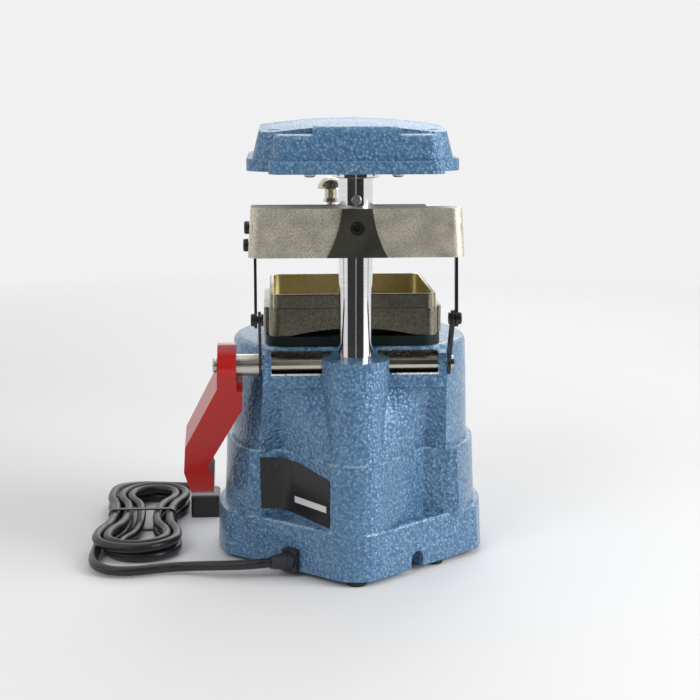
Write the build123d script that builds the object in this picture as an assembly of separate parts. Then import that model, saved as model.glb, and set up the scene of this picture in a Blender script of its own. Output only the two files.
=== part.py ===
from build123d import *
import os
from math import acos, asin, cos, degrees, radians, sin, sqrt, tan

# Dental vacuum former, millimetres.  Origin: on the table under the middle of
# the model platform.  -Y is the operator's side, +Y the column side, +X the
# side of the red lever, +Z up.

os.makedirs("parts", exist_ok=True)

# ---------------------------------------------------------------- clearances
RUN = 0.05            # radial running clearance of a shaft in its bore
SEAT = 0.02           # radial clearance of parts that are fixed to each other
AIR = 0.3             # air between bodies that move past each other
SLIT = 0.2            # side air of a thin part between its neighbours

# -------------------------------------------------------------- base housing
FOOT_H = 4.0
TIER_TOPS = (37.0, 84.0, 157.0)
TIER_BOTTOM_R = (96.0, 90.5, 84.5)
TIER_TOP_R = (94.5, 88.5, 82.5)
DECK_Z = TIER_TOPS[2]
LEDGE_ROUND = 2.0
BUTTRESS_SIDE = 0.5   # how far a buttress face falls back where it meets the drum
DECK_ROUND = 5.0
BAY_Z = 131.0         # lower edge of the straight bay that carries the shaft
BAY_X = 61.9
BAY_Y = 73.5
LUG_X = 56.0          # inner faces of the two shaft lugs
LUG_TOP_Z = 154.2
RIM_Y = 62.0          # rear rim of the deck, front wall of the shaft slot
CAVITY_R = (84.0, 78.0)
CAVITY_STEP_Z = 76.0
CAVITY_TOP_Z = 150.0
CAVITY_Y = 36.0
REAR_CAVITY_X = 27.0
REAR_CAVITY_Y = 67.0
REAR_CAVITY_TOP_Z = 128.0
COVER_MARGIN = 4.0    # ledge that the bottom plate lies against
COVER_T = 2.0
COVER_Z = 6.0
COVER_BOSS_R = 6.0
COVER_BOSS_H = 24.0
COVER_SCREW_PITCH_R = 79.0
COVER_SCREW_TURNS = (10.0, 170.0, 250.0, 290.0)
VENT_COUNT = 7
VENT_PITCH = 12.0
VENT_SIZE = (5.0, 46.0)
CORD_NOTCH_W = 11.5
CORD_NOTCH_TOP = 15.7
CORD_NOTCH_DEPTH = 12.0
CORD_NOTCH_X = 43.0
FOOT_R = 7.2
REAR_FEET = [(0.0, 93.0), (56.5, 49.5), (-56.5, 49.5)]
FRONT_FEET = [(50.0, -62.0), (-50.0, -62.0)]

# ---------------------------------------------------------------- air way
PORT_R = 26.0
GRILLE_R = 31.0
GRILLE_T = 3.0
GASKET_SIDE = 119.0
GASKET_CORNER = 14.0
GASKET_T = 6.5
GASKET_PAD_R = 52.0
GASKET_PAD_T = 6.2
GASKET_HOLE_R = 38.0
MOTOR_Y = -18.0
MOTOR_R = 52.0
MOTOR_FAN_H = 44.0
MOTOR_CAN_R = 40.0
MOTOR_CAN_H = 58.0
MOTOR_EYE_R = 20.0
MOTOR_SEAL_T = 3.0
MOTOR_SEAL_W = 6.0
MOTOR_RING_T = 3.0
MOTOR_BOLT_R = 2.0
MOTOR_BOLT_PITCH_R = 56.5
MOTOR_BOLT_TURNS = (45.0, 135.0, 225.0, 315.0)

# ---------------------------------------------------------- column and shaft
COL_Y = 79.0
COL_R = 11.3
COL_TOP_Z = 296.0
BOSS_R = 22.5
BOSS_TOP_Z = 152.2
PILASTER_R = (22.8, 22.4, 22.0)
STUD_R = 5.5
STUD_LENGTH = 40.0
NUT_R = 9.5
NUT_T = 8.0
WASHER_T = 2.0
NUT_ROOM_X = 12.0
NUT_ROOM_Z = (92.0, 121.0)
STOP_SCREW_Z = 257.9
SHAFT_Y = 67.5
SHAFT_Z = 146.4
SHAFT_R = 5.0
SHAFT_END_X = -66.8   # right-hand end of the cross shaft
ARM_LENGTH = 40.3
ARM_LEAN = 33.0       # degrees from upright, towards the rear, frame raised
ARM_T = 1.8
ARM_END_R = 5.5
ARM_HUB_R = 8.0
ARM_X = BAY_X + 0.5
LINK_T = 1.8
LINK_LENGTH = 51.8
LINK_END_R = 5.5
LINK_HALF = 2.5       # the strap is slim between its eyes, to clear the bar's rear wall
LINK_X = ARM_X + ARM_T + 0.6
LINK_PIVOT_Y = 84.0
BOLT_R = 2.5
BOLT_HEAD_R = 4.0
BOLT_HEAD_T = 2.4
BOLT_NUT_T = 1.6
SPACER_R = 7.2

# --------------------------------------------------------------------- lever
LEVER_LEAN = 25.0     # degrees from straight down, towards the operator
LEVER_HUB_R = 15.0
LEVER_HUB_X = (79.4, 91.6)
LEVER_END_R = 11.0
LEVER_LENGTH = 109.0
LEVER_WALL = 3.2
LEVER_SOLID_D = 76.0  # below this distance from the shaft the grip is solid
HUB_SCREW_R = 2.6
HUB_SCREW_HEAD_R = 5.0

# ------------------------------------------------------------------- tray
TRAY_SIDE = 113.0
TRAY_PROUD = 0.9
TRAY_CORNER = 8.0
TRAY_TOP_Z = 192.0
TRAY_STEP_Z = 182.3
TRAY_WALL = 2.6
TRAY_FLOOR_T = 3.0
TRAY_ARCH_HALF = 44.0
TRAY_EAR_X = 60.7
TRAY_EAR_HALF = 46.0
TRAY_EAR_Z = 164.0
SCREEN_R = 50.0
SCREEN_T = 1.5
SCREEN_LEDGE = 4.0
SCREEN_HOLE_R = 2.0
SCREEN_HOLE_PITCH = 12.0

# --------------------------------------------------------------- sheet frames
SHEET_Z = 236.0       # plane of the plastic sheet with the frame raised
FRAME_BOTTOM_Z = 221.5
FRAME_TOP_HALF = 68.25
FRAME_FOOT_HALF = 70.25
FRAME_FRONT_Y = -70.0
FRAME_CORNER = 8.0
OPENING_HALF = 61.8
SHELF_HALF = 59.0
SHELF_T = 8.0
OPENING_CORNER = 6.0
BAR_FRONT_Y = 62.0
BAR_REAR_Y = 99.0
BAR_TOP_Z = 253.0
BAR_WALL = 2.6
BAR_SIDE_X = 67.2     # inner faces of the bar's side walls beside the links
BAR_SIDE_Z = 243.0
BAR_STEP_X = -47.0    # to the right of this the bar's top is set back
BAR_STEP_Y = 80.0
BAR_STEP_Z = 247.0
BOSS_FACE_Y = 100.0
BOSS_TOP_W = 19.6
BOSS_FOOT_W = 39.4
FRAME_BOSS_R = 16.9
BUSH_R = 13.8
SET_SCREW_Z = 240.5
SET_SCREW_R = 4.6
SET_SCREW_TIP_R = 2.5
HINGE_Y = 70.0
HINGE_Z = 240.0
HINGE_PIN_R = 2.0
KNUCKLE_R = 3.6
KNUCKLE_X = (50.0, 58.0)
KNUCKLE_AIR = 0.6
HINGE_WEB = 3.0
CLAMP_GAP = 0.6
CLAMP_T = 6.4
CLAMP_HALF = 64.0
CLAMP_CORNER = 10.0
CLAMP_OPENING = 57.5
CLAMP_REAR_Y = 60.0
CLAMP_FRONT_Y = -68.0
SEAL_T = 1.2
SEAL_W = 3.0
KNOB_X = 10.0
KNOB_Y = -75.0
LUG_W = 17.0
LUG_FRONT_Y = -84.0
SCREW_R = 3.0
SCREW_TOP_Z = 247.0
KNOB_R = 10.0
KNOB_TOP_Z = 263.5
KNOB_STEM_R = 4.6
SIDE_SCREW_Y = 75.0
SIDE_SCREW_Z = (239.2, 227.7)

# ---------------------------------------------------------------------- head
HEAD_Z = 275.0
LIP_H = 8.2
HEAD_HALF = 71.3
HEAD_CORNER = 22.0
HEAD_INSET = 4.0
HEAD_TOP_HALF = 61.0
HEAD_TOP_Z = 309.0
HEAD_CROWN_R = 400.0
HEAD_ROUND = 9.0
BLOCK_HALF = 56.5
BLOCK_Y = 104.0
BLOCK_INSET = 3.2
BLOCK_TOP_Z = 299.5
RIDGE_HALF = 27.8
RIDGE_TOP_Z = 305.0
HEAD_WALL = 4.0
HEAD_BOSS_R = 16.5
WIRE_ROOM_Y = (72.0, 98.0)
WIRE_ROOM_HALF = 48.0
WIRE_ROOM_TOP = 293.0
WIRE_COVER_T = 1.5
HEAD_SCREW_X = (30.0, -27.0)
HEAD_SCREW_R = 4.0
PAN_HALF = 59.0
PAN_TOP_HALF = 52.0
PAN_Z = (279.0, 297.0)
PAN_T = 0.8
ELEMENT_R = 3.2
ELEMENT_Z = 286.5
ELEMENT_RUNS = 6
ELEMENT_PITCH = 17.0
ELEMENT_HALF = 38.0
HOLDER_X = 26.0
HOLDER_T = 2.0
COLLAR_R = 15.5
COLLAR_T = 2.8

# ------------------------------------------------------------------ switches
PANEL_HALF_X = 36.0
PANEL_Z = (44.0, 76.0)
PANEL_Y = -92.0
PANEL_CORNER = 6.0
SWITCH_X = 17.0
SWITCH_W = 13.0
SWITCH_H = 19.0
SWITCH_DEPTH = 15.0
BEZEL_LIP = 1.5
BEZEL_T = 2.0
ROCKER_W = 8.4
ROCKER_H = 14.0
ROCKER_OUT = 3.2
ROCKER_BACK = 3.0
ROCKER_TILT = 8.0
ROCKER_PIVOT_IN = 1.5

# ---------------------------------------------------------------- mains lead
CORD_R = 3.4
CORD_GAP = 0.8
GLAND_H = 17.0
GLAND_W = 12.5
GLAND_FOOT_Z = 3.0
GLAND_Z = 11.5
GLAND_OUT = 4.0
GLAND_TONGUE = 8.0
SLEEVE_LENGTH = 13.0
SLEEVE_R = (5.6, 4.3)
SLEEVE_TURN = 15.0    # plan angle of the moulded sleeve, from +X
HANK_X = 152.0
HANK_NEAR_Y = 50.0
HANK_FAR_Y = -124.0
HANK_WAIST_Y = -37.0
HANK_WAIST_RUN = 24.0
HANK_LEAN = 40.0      # length of each curve from waist to full width
HANK_HALF_W = 34.0
HANK_WAIST_HALF = 26.5
HANK_WAIST_STEP = 9.6
HANK_TURNS = 2        # turns in each of the two layers
TIE_T = 1.0
TIE_W = 4.0
TIE_AIR = 0.3
PLUG_NEAR_Y = -67.0
PLUG_FAR_Y = -99.0
PLUG_X = (98.0, 120.0)
PLUG_CORD_X = 110.0
PLUG_T = 17.0
PIN_R = 2.0
PIN_LENGTH = 19.0
PIN_PITCH = 19.0
BOOT_LENGTH = 12.0


# ------------------------------------------------------ worked-out sizes
FLANK_TURN = 49.8     # plan angle of the lower rear flanks, from +X
PANEL_TURN = 38.7     # plan angle of the recessed rear panels, from +X
FLANK_N = (cos(radians(FLANK_TURN)), sin(radians(FLANK_TURN)))
PANEL_N = (cos(radians(PANEL_TURN)), sin(radians(PANEL_TURN)))
FLANK_D = PILASTER_R[0] + COL_Y * FLANK_N[1]
SHAFT_SLOT_Z = SHAFT_Z - SHAFT_R - 0.5
SWITCH_Z = (PANEL_Z[0] + PANEL_Z[1]) / 2
COVER_SCREW_R = 2.0
COVER_SCREW_HEAD_R = 4.0
COVER_SCREW_HEAD_T = 1.6
COVER_SCREW_LENGTH = 14.0
MOTOR_TOP_Z = CAVITY_TOP_Z - MOTOR_SEAL_T
MOTOR_FAN_Z = MOTOR_TOP_Z - MOTOR_FAN_H
STOP_SHANK_R = 1.6
STOP_HEAD_R = 3.25
STOP_HEAD_T = 2.5
ARM_TIP = (SHAFT_Y + ARM_LENGTH * sin(radians(ARM_LEAN)), SHAFT_Z + ARM_LENGTH * cos(radians(ARM_LEAN)))
LINK_TIP = (LINK_PIVOT_Y, ARM_TIP[1] + sqrt(LINK_LENGTH ** 2 - (ARM_TIP[0] - LINK_PIVOT_Y) ** 2))
SPACER_X = (ARM_X + ARM_T + SEAT, LEVER_HUB_X[0] - SEAT)
SHAFT_TOP_X = LEVER_HUB_X[1] - 2.0
TRAY_FOOT_Z = DECK_Z + GASKET_T
TRAY_FLOOR_Z = DECK_Z + GASKET_T + GASKET_PAD_T
TRAY_INNER = TRAY_SIDE / 2 - TRAY_WALL
SIDE_SHANK_R = 2.0
SIDE_HEAD_R = 4.2
SIDE_HEAD_T = 3.4
CLAMP_Z = SHEET_Z + CLAMP_GAP
HEAD_LIP_TOP = HEAD_Z + LIP_H
WIRE_COVER_SCREW_Y = 88.0
HEAD_SHANK_R = 1.8
POST_R = 4.0
POST_AT = 36.0
PLUG_Z = PLUG_T / 2 + 0.3
LAYER_Z = (TIE_T + TIE_AIR + CORD_R, TIE_T + TIE_AIR + 3 * CORD_R + CORD_GAP)
END_STEP = 2 * CORD_R + CORD_GAP
SLEEVE_OUT = (cos(radians(SLEEVE_TURN)), sin(radians(SLEEVE_TURN)))
HANK_START_X = HANK_X + HANK_HALF_W - CORD_R
NEAR_END_Y = HANK_NEAR_Y - HANK_HALF_W
FAR_END_Y = HANK_FAR_Y + HANK_HALF_W
FIRST_RUN = 10.0
TAIL_POINTS = [
    (HANK_START_X, FAR_END_Y, LAYER_Z[1]), (HANK_START_X, -102.0, LAYER_Z[1]), (180.0, -115.0, 11.5),
    (172.0, -127.0, 9.5), (160.0, -136.0, 7.5), (145.0, -140.5, 5.5), (130.0, -139.5, 5.0),
    (120.0, -135.0, 5.8), (113.2, -128.0, 7.0), (PLUG_CORD_X, -119.5, PLUG_Z),
    (PLUG_CORD_X, PLUG_FAR_Y - BOOT_LENGTH, PLUG_Z),
]


# ------------------------------------------------------------------- helpers
def block(x, y, z):
    """Box from its (low, high) pairs along X, Y and Z."""
    size = [pair[1] - pair[0] for pair in (x, y, z)]
    centre = [(pair[1] + pair[0]) / 2 for pair in (x, y, z)]
    return Pos(*centre) * Box(*size)


def upright(r, low, high, x=0.0, y=0.0):
    """Cylinder along Z."""
    return Pos(x, y, (low + high) / 2) * Cylinder(r, high - low)


def along_x(r, low, high, y, z):
    """Cylinder along X."""
    return Pos((low + high) / 2, y, z) * Rot(0, 90, 0) * Cylinder(r, high - low)


def along_y(r, low, high, x, z):
    """Cylinder along Y."""
    return Pos(x, (low + high) / 2, z) * Rot(90, 0, 0) * Cylinder(r, high - low)


def rounded_slab(x, y, z, corner):
    """Plate with rounded vertical corners."""
    outline = RectangleRounded(x[1] - x[0], y[1] - y[0], corner)
    centre = Pos((x[0] + x[1]) / 2, (y[0] + y[1]) / 2, z[0])
    return centre * extrude(outline, z[1] - z[0])


def bar_in_yz(start, end, end_r, x):
    """Flat strip with round ends between two points of the YZ plane."""
    span = sqrt((end[0] - start[0]) ** 2 + (end[1] - start[1]) ** 2)
    turn = degrees(acos((end[0] - start[0]) / span))
    if end[1] < start[1]:
        turn = -turn
    outline = SlotCenterToCenter(span, 2 * end_r, rotation=turn)
    middle = ((start[0] + end[0]) / 2, (start[1] + end[1]) / 2)
    plane = Plane(origin=(x[0], middle[0], middle[1]), x_dir=(0, 1, 0), z_dir=(1, 0, 0))
    return extrude(plane * outline, x[1] - x[0])


def save(name, shapes):
    """One STEP file for a node, of one solid or of a group of equal parts."""
    group = shapes if isinstance(shapes, list) else [shapes]
    solids = [s for shape in group for s in shape.solids()]
    body = solids[0] if len(solids) == 1 else Compound(children=solids)
    export_step(body, f"parts/{name}.step")


def ring_of(shape, count_turns, r, centre=(0.0, 0.0)):
    """Copies of a shape made at the origin, on a circle at given turns."""
    places = [(r * cos(radians(t)) + centre[0], r * sin(radians(t)) + centre[1]) for t in count_turns]
    return [Pos(x, y) * shape for x, y in places]


def s_curve(start, end, direction):
    """Two equal arcs that leave and arrive along the same direction."""
    first, last, out = Vector(*start), Vector(*end), Vector(*direction)
    middle = (first + last) * 0.5
    chord = (last - first).normalized()
    turned = chord * (2 * chord.dot(out)) - out
    return [TangentArc(first, middle, tangent=out), TangentArc(middle, last, tangent=turned)]


# ------------------------------------------------------------- base housing


def tangent_point(normal, r):
    return (r * normal[0], COL_Y + r * normal[1])


def chord_on_circle(normal, distance, r):
    """Where a flank at a distance from the axis meets a round tier."""
    along = sqrt(r * r - distance * distance)
    return (distance * normal[0] + along * normal[1], distance * normal[1] - along * normal[0])


def tier_outline(points, circle_r, pilaster_r, pilaster_end, z):
    """Plan outline: rear pilaster arc, straight flanks, big front arc."""
    stations = [pilaster_end] + points
    left = [(x, y, z) for x, y in stations]
    right = [(-x, y, z) for x, y in stations]
    edges = [ThreePointArc(right[0], (0, COL_Y + pilaster_r, z), left[0])]
    edges += [Line(a, b) for a, b in zip(left, left[1:])]
    edges.append(ThreePointArc(left[-1], (0, -circle_r, z), right[-1]))
    edges += [Line(b, a) for a, b in zip(right, right[1:])][::-1]
    return make_face(Wire(edges))


def top_face(shape):
    return shape.faces().sort_by(Axis.Z)[-1]


def lower_tier():
    """Bottom tier: round, with two flat flanks running back to the pilaster."""
    end = tangent_point(FLANK_N, PILASTER_R[0])
    sections = []
    for z, r in ((FOOT_H, TIER_BOTTOM_R[0]), (TIER_TOPS[0], TIER_TOP_R[0])):
        sections.append(tier_outline([chord_on_circle(FLANK_N, FLANK_D, r)], r, PILASTER_R[0], end, z))
    tier = loft(sections, ruled=True)
    return fillet(top_face(tier).edges(), LEDGE_ROUND)


def buttress_section(z, r, pilaster_r, inner, outer):
    """Section with a recessed panel and a squared buttress on each side."""
    end = tangent_point(PANEL_N, pilaster_r)
    side_y = outer[1] - BUTTRESS_SIDE
    side = (sqrt(r * r - side_y * side_y), side_y)
    return tier_outline([inner, outer, side], r, pilaster_r, end, z)


def hypotenuse(point):
    return sqrt(point[0] ** 2 + point[1] ** 2)


def middle_tier():
    low = buttress_section(TIER_TOPS[0] - LEDGE_ROUND, TIER_BOTTOM_R[1], PILASTER_R[1], (49.0, 49.5), (65.2, 51.8))
    high = buttress_section(TIER_TOPS[1], TIER_TOP_R[1], PILASTER_R[1], (49.8, 51.0), (66.0, 52.4))
    tier = loft([low, high], ruled=True)
    front = top_face(tier).edges().sort_by(Axis.Y)[0]
    return fillet([front], LEDGE_ROUND)


def upper_tier():
    """Round drum whose sides flow into a straight bay for the cross shaft."""
    r = (TIER_BOTTOM_R[2] + TIER_TOP_R[2]) / 2
    low = buttress_section(TIER_TOPS[1] - LEDGE_ROUND, TIER_BOTTOM_R[2], PILASTER_R[2], (50.6, 49.0), (63.9, 53.2))
    side = PILASTER_R[2] * 0.96
    pilaster_end = (side, COL_Y - sqrt(PILASTER_R[2] ** 2 - side ** 2))
    bay_corners = [(BAY_X - 12.4, BAY_Y - 3.5), (BAY_X, BAY_Y), (BAY_X, sqrt(r * r - BAY_X ** 2))]
    high = tier_outline(bay_corners, r, PILASTER_R[2], pilaster_end, BAY_Z)
    skirt = loft([low, high], ruled=True)
    drum = loft([Pos(0, 0, BAY_Z) * Circle(r), Pos(0, 0, DECK_Z) * Circle(TIER_TOP_R[2])])
    drum = drum - block((-100, 100), (RIM_Y, 120), (BAY_Z - 1, DECK_Z + 1))
    drum = fillet(top_face(drum).edges(), DECK_ROUND)
    bay = block((-BAY_X, BAY_X), (0, BAY_Y), (BAY_Z, LUG_TOP_Z))
    slot = block((-LUG_X, LUG_X), (RIM_Y, BAY_Y + 1), (SHAFT_SLOT_Z, LUG_TOP_Z + 1))
    return skirt + (bay - slot) + drum


def flank_frame(side, back=0.0):
    """Plane on a rear flank at the cord notch, facing out, Y axis down."""
    wall = Vector(side * CORD_NOTCH_X, (FLANK_D - CORD_NOTCH_X * FLANK_N[0]) / FLANK_N[1], 0)
    out = Vector(side * FLANK_N[0], FLANK_N[1], 0)
    start = wall - out * back
    return Plane(origin=start, x_dir=out.cross(Vector(0, 0, 1)), z_dir=out)


def notch_outline(width, top):
    """Arch drawn downwards from its crown, long enough to leave at the foot."""
    r = width / 2
    return Pos(0, -(top - r) / 2) * Rectangle(width, top - r) + Pos(0, r - top) * Circle(r)


def place_panel():
    """Thick pad for the switches at the front."""
    pad = block((-PANEL_HALF_X, PANEL_HALF_X), (PANEL_Y, PANEL_Y + 30), PANEL_Z)
    return fillet(pad.edges().filter_by(Axis.Y), PANEL_CORNER)


def cavity():
    """Motor room, open at the foot, with a rear room for the wiring."""
    foot = COVER_Z + COVER_T
    room = upright(CAVITY_R[0], foot, CAVITY_STEP_Z) + upright(CAVITY_R[1], foot, CAVITY_TOP_Z)
    room = room & block((-100, 100), (-100, CAVITY_Y), (0, DECK_Z))
    rear = block((-REAR_CAVITY_X, REAR_CAVITY_X), (0, REAR_CAVITY_Y), (foot, REAR_CAVITY_TOP_Z))
    nut_room = block((-NUT_ROOM_X, NUT_ROOM_X), (0, COL_Y + NUT_ROOM_X), NUT_ROOM_Z)
    return room + rear + nut_room


def cover_outline(clearance):
    """Bottom plate: the motor room's outline with a tongue to the rear."""
    r = CAVITY_R[0] + COVER_MARGIN - clearance
    top = CAVITY_Y + COVER_MARGIN - clearance
    half = REAR_CAVITY_X + COVER_MARGIN - clearance
    depth = REAR_CAVITY_Y + COVER_MARGIN - clearance
    round_part = Circle(r) & Pos(0, (top - r) / 2) * Rectangle(2 * r, top + r)
    return round_part + Pos(0, depth / 2) * Rectangle(2 * half, depth)


def switch_places():
    return [-SWITCH_X, SWITCH_X]


def base_housing():
    body = lower_tier() + middle_tier() + upper_tier()
    body = body + upright(BOSS_R, REAR_CAVITY_TOP_Z, BOSS_TOP_Z, 0, COL_Y) + place_panel()
    body = body - cavity()
    body = body - Pos(0, 0, FOOT_H - 1) * extrude(cover_outline(0), COVER_Z + COVER_T - FOOT_H + 1)
    boss = Pos(0, 0, COVER_Z + COVER_T) * extrude(Circle(COVER_BOSS_R), COVER_BOSS_H)
    hole = upright(COVER_SCREW_R + SEAT, 0, COVER_Z + COVER_T + COVER_SCREW_LENGTH)
    for piece in ring_of(boss, COVER_SCREW_TURNS, COVER_SCREW_PITCH_R):
        body = body + piece
    for piece in ring_of(hole, COVER_SCREW_TURNS, COVER_SCREW_PITCH_R):
        body = body - piece
    # air port with the seat of the grille
    body = body - upright(PORT_R, CAVITY_TOP_Z - 1, DECK_Z)
    body = body - upright(GRILLE_R + SEAT, DECK_Z - GRILLE_T, DECK_Z + 1)
    bolt_hole = upright(MOTOR_BOLT_R + SEAT, CAVITY_TOP_Z - 1, DECK_Z - 2)
    for piece in ring_of(bolt_hole, MOTOR_BOLT_TURNS, MOTOR_BOLT_PITCH_R, (0, MOTOR_Y)):
        body = body - piece
    # stud of the column and bearings of the cross shaft
    body = body - upright(STUD_R + SEAT, NUT_ROOM_Z[1] - 1, BOSS_TOP_Z + 1, 0, COL_Y)
    body = body - along_x(SHAFT_R + RUN, -BAY_X - 1, BAY_X + 1, SHAFT_Y, SHAFT_Z)
    for x in switch_places():
        half_w = SWITCH_W / 2 + SEAT
        half_h = SWITCH_H / 2 + SEAT
        inner = PANEL_Y + SWITCH_DEPTH + 4
        body = body - block((x - half_w, x + half_w), (PANEL_Y - 1, inner), (SWITCH_Z - half_h, SWITCH_Z + half_h))
    for side in (-1, 1):
        notch = flank_frame(side, CORD_NOTCH_DEPTH) * notch_outline(CORD_NOTCH_W, CORD_NOTCH_TOP)
        body = body - extrude(notch, CORD_NOTCH_DEPTH + 15)
    duct = flank_frame(1, CORD_NOTCH_DEPTH + 30) * Pos(0, -GLAND_Z) * Circle(CORD_R + 1)
    return body - extrude(duct, 31)


def bottom_plate():
    plate = Pos(0, 0, COVER_Z) * extrude(cover_outline(SLIT), COVER_T)
    for i in range(VENT_COUNT):
        x = (i - (VENT_COUNT - 1) / 2) * VENT_PITCH
        slot = Pos(x, MOTOR_Y) * SlotOverall(VENT_SIZE[1], VENT_SIZE[0], rotation=90)
        plate = plate - Pos(0, 0, COVER_Z - 1) * extrude(slot, COVER_T + 2)
    hole = upright(COVER_SCREW_R + SEAT, COVER_Z - 1, COVER_Z + COVER_T + 1)
    for piece in ring_of(hole, COVER_SCREW_TURNS, COVER_SCREW_PITCH_R):
        plate = plate - piece
    return plate


def plate_screw():
    head = upright(COVER_SCREW_HEAD_R, COVER_Z - COVER_SCREW_HEAD_T, COVER_Z)
    head = chamfer(head.faces().sort_by(Axis.Z)[0].edges(), COVER_SCREW_HEAD_T / 2)
    return head + upright(COVER_SCREW_R, COVER_Z - 0.1, COVER_Z + COVER_T + COVER_SCREW_LENGTH - 2)


def rubber_foot(place, top):
    profile = loft([Pos(0, 0, 0) * Circle(FOOT_R - 0.8), Pos(0, 0, top) * Circle(FOOT_R)])
    return Pos(*place) * profile


save("base_housing", base_housing())
save("bottom_plate", bottom_plate())
save("plate_screws", ring_of(plate_screw(), COVER_SCREW_TURNS, COVER_SCREW_PITCH_R))
save("rubber_feet", [rubber_foot(p, FOOT_H) for p in REAR_FEET] + [rubber_foot(p, COVER_Z) for p in FRONT_FEET])


# ----------------------------------------------------------------- air way
def deck_grille():
    """Slotted disc in the air port, flush with the deck."""
    disc = upright(GRILLE_R, DECK_Z - GRILLE_T, DECK_Z)
    for i in range(-2, 3):
        length = 2 * sqrt(PORT_R ** 2 - (i * 9.0) ** 2) - 6
        slot = Pos(i * 9.0, 0, DECK_Z - GRILLE_T - 1) * SlotOverall(length, 5, rotation=90)
        disc = disc - extrude(slot, GRILLE_T + 2)
    return disc


def deck_gasket():
    half = GASKET_SIDE / 2
    mat = rounded_slab((-half, half), (-half, half), (DECK_Z, DECK_Z + GASKET_T), GASKET_CORNER)
    pad = upright(GASKET_PAD_R, DECK_Z + GASKET_T, DECK_Z + GASKET_T + GASKET_PAD_T)
    pad = chamfer(top_face(pad).edges(), 1.5)
    return mat + pad - upright(GASKET_HOLE_R, DECK_Z - 1, DECK_Z + GASKET_T + GASKET_PAD_T + 1)


def vacuum_motor():
    """Two-stage fan drum on a narrower motor can, eye of the fan on top."""
    fan = upright(MOTOR_R, MOTOR_FAN_Z, MOTOR_TOP_Z, 0, MOTOR_Y)
    fan = fillet(top_face(fan).edges(), 4)
    fan = fan - upright(MOTOR_EYE_R, MOTOR_TOP_Z - 12, MOTOR_TOP_Z + 1, 0, MOTOR_Y)
    can = upright(MOTOR_CAN_R, MOTOR_FAN_Z - MOTOR_CAN_H, MOTOR_FAN_Z + 1, 0, MOTOR_Y)
    can = fillet(can.faces().sort_by(Axis.Z)[0].edges(), 10)
    return fan + can


def motor_ring():
    """Ring with four ears that presses the fan drum up against its seal."""
    z = (MOTOR_FAN_Z - MOTOR_RING_T, MOTOR_FAN_Z)
    ring = upright(MOTOR_R, z[0], z[1], 0, MOTOR_Y)
    ear = upright(MOTOR_BOLT_R + 4.5, z[0], z[1])
    for piece in ring_of(ear, MOTOR_BOLT_TURNS, MOTOR_BOLT_PITCH_R, (0, MOTOR_Y)):
        ring = ring + piece
    hole = upright(MOTOR_BOLT_R + SEAT, z[0] - 1, z[1] + 1)
    for piece in ring_of(hole, MOTOR_BOLT_TURNS, MOTOR_BOLT_PITCH_R, (0, MOTOR_Y)):
        ring = ring - piece
    return ring - upright(MOTOR_CAN_R + SEAT, z[0] - 1, z[1] + 1, 0, MOTOR_Y)


def motor_bolt():
    low = MOTOR_FAN_Z - MOTOR_RING_T
    shank = upright(MOTOR_BOLT_R, low - 0.1, DECK_Z - 3)
    return shank + upright(MOTOR_BOLT_R + 1.6, low - 3, low)


seal_outer = upright(MOTOR_R - 5, MOTOR_TOP_Z, CAVITY_TOP_Z, 0, MOTOR_Y)
seal_inner = upright(MOTOR_R - 5 - MOTOR_SEAL_W, MOTOR_TOP_Z - 1, CAVITY_TOP_Z + 1, 0, MOTOR_Y)
save("deck_grille", deck_grille())
save("deck_gasket", deck_gasket())
save("vacuum_motor", vacuum_motor())
save("motor_seal", seal_outer - seal_inner)
save("motor_ring", motor_ring())
save("motor_bolts", ring_of(motor_bolt(), MOTOR_BOLT_TURNS, MOTOR_BOLT_PITCH_R, (0, MOTOR_Y)))


# ---------------------------------------------------------- column and shaft
def column():
    rod = upright(COL_R, BOSS_TOP_Z, COL_TOP_Z, 0, COL_Y)
    rod = chamfer(top_face(rod).edges(), 1)
    rod = rod + upright(STUD_R, BOSS_TOP_Z - STUD_LENGTH, BOSS_TOP_Z + 1, 0, COL_Y)
    return rod - along_y(STOP_SHANK_R + SEAT, COL_Y, COL_Y + COL_R + 1, 0, STOP_SCREW_Z)


def column_nut():
    """Hexagon nut with its washer, pulling the stud down from below."""
    top = NUT_ROOM_Z[1]
    washer = upright(NUT_R + 1, top - WASHER_T, top, 0, COL_Y)
    nut = Pos(0, COL_Y, top - WASHER_T - NUT_T) * extrude(RegularPolygon(NUT_R, 6), NUT_T)
    return washer + nut - upright(STUD_R + SEAT, top - WASHER_T - NUT_T - 1, top + 1, 0, COL_Y)


def stop_screw():
    face = COL_Y + COL_R
    head = along_y(STOP_HEAD_R, face + SEAT, face + SEAT + STOP_HEAD_T, 0, STOP_SCREW_Z)
    head = fillet(head.faces().sort_by(Axis.Y)[-1].edges(), 1)
    return head + along_y(STOP_SHANK_R, face - 7, face + 0.5, 0, STOP_SCREW_Z)


save("column", column())
save("column_nut", column_nut())
save("stop_screw", stop_screw())


def span_x(side, near, thickness):
    """X range of a plate on one side, from its near face outwards."""
    return (near, near + thickness) if side > 0 else (-near - thickness, -near)


def crank_arm(side):
    x = span_x(side, ARM_X, ARM_T)
    arm = bar_in_yz((SHAFT_Y, SHAFT_Z), ARM_TIP, ARM_END_R, x)
    arm = arm + along_x(ARM_HUB_R, x[0], x[1], SHAFT_Y, SHAFT_Z)
    arm = arm - along_x(SHAFT_R + SEAT, x[0] - 1, x[1] + 1, SHAFT_Y, SHAFT_Z)
    return arm - along_x(BOLT_R + RUN, x[0] - 1, x[1] + 1, *ARM_TIP)


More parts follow.
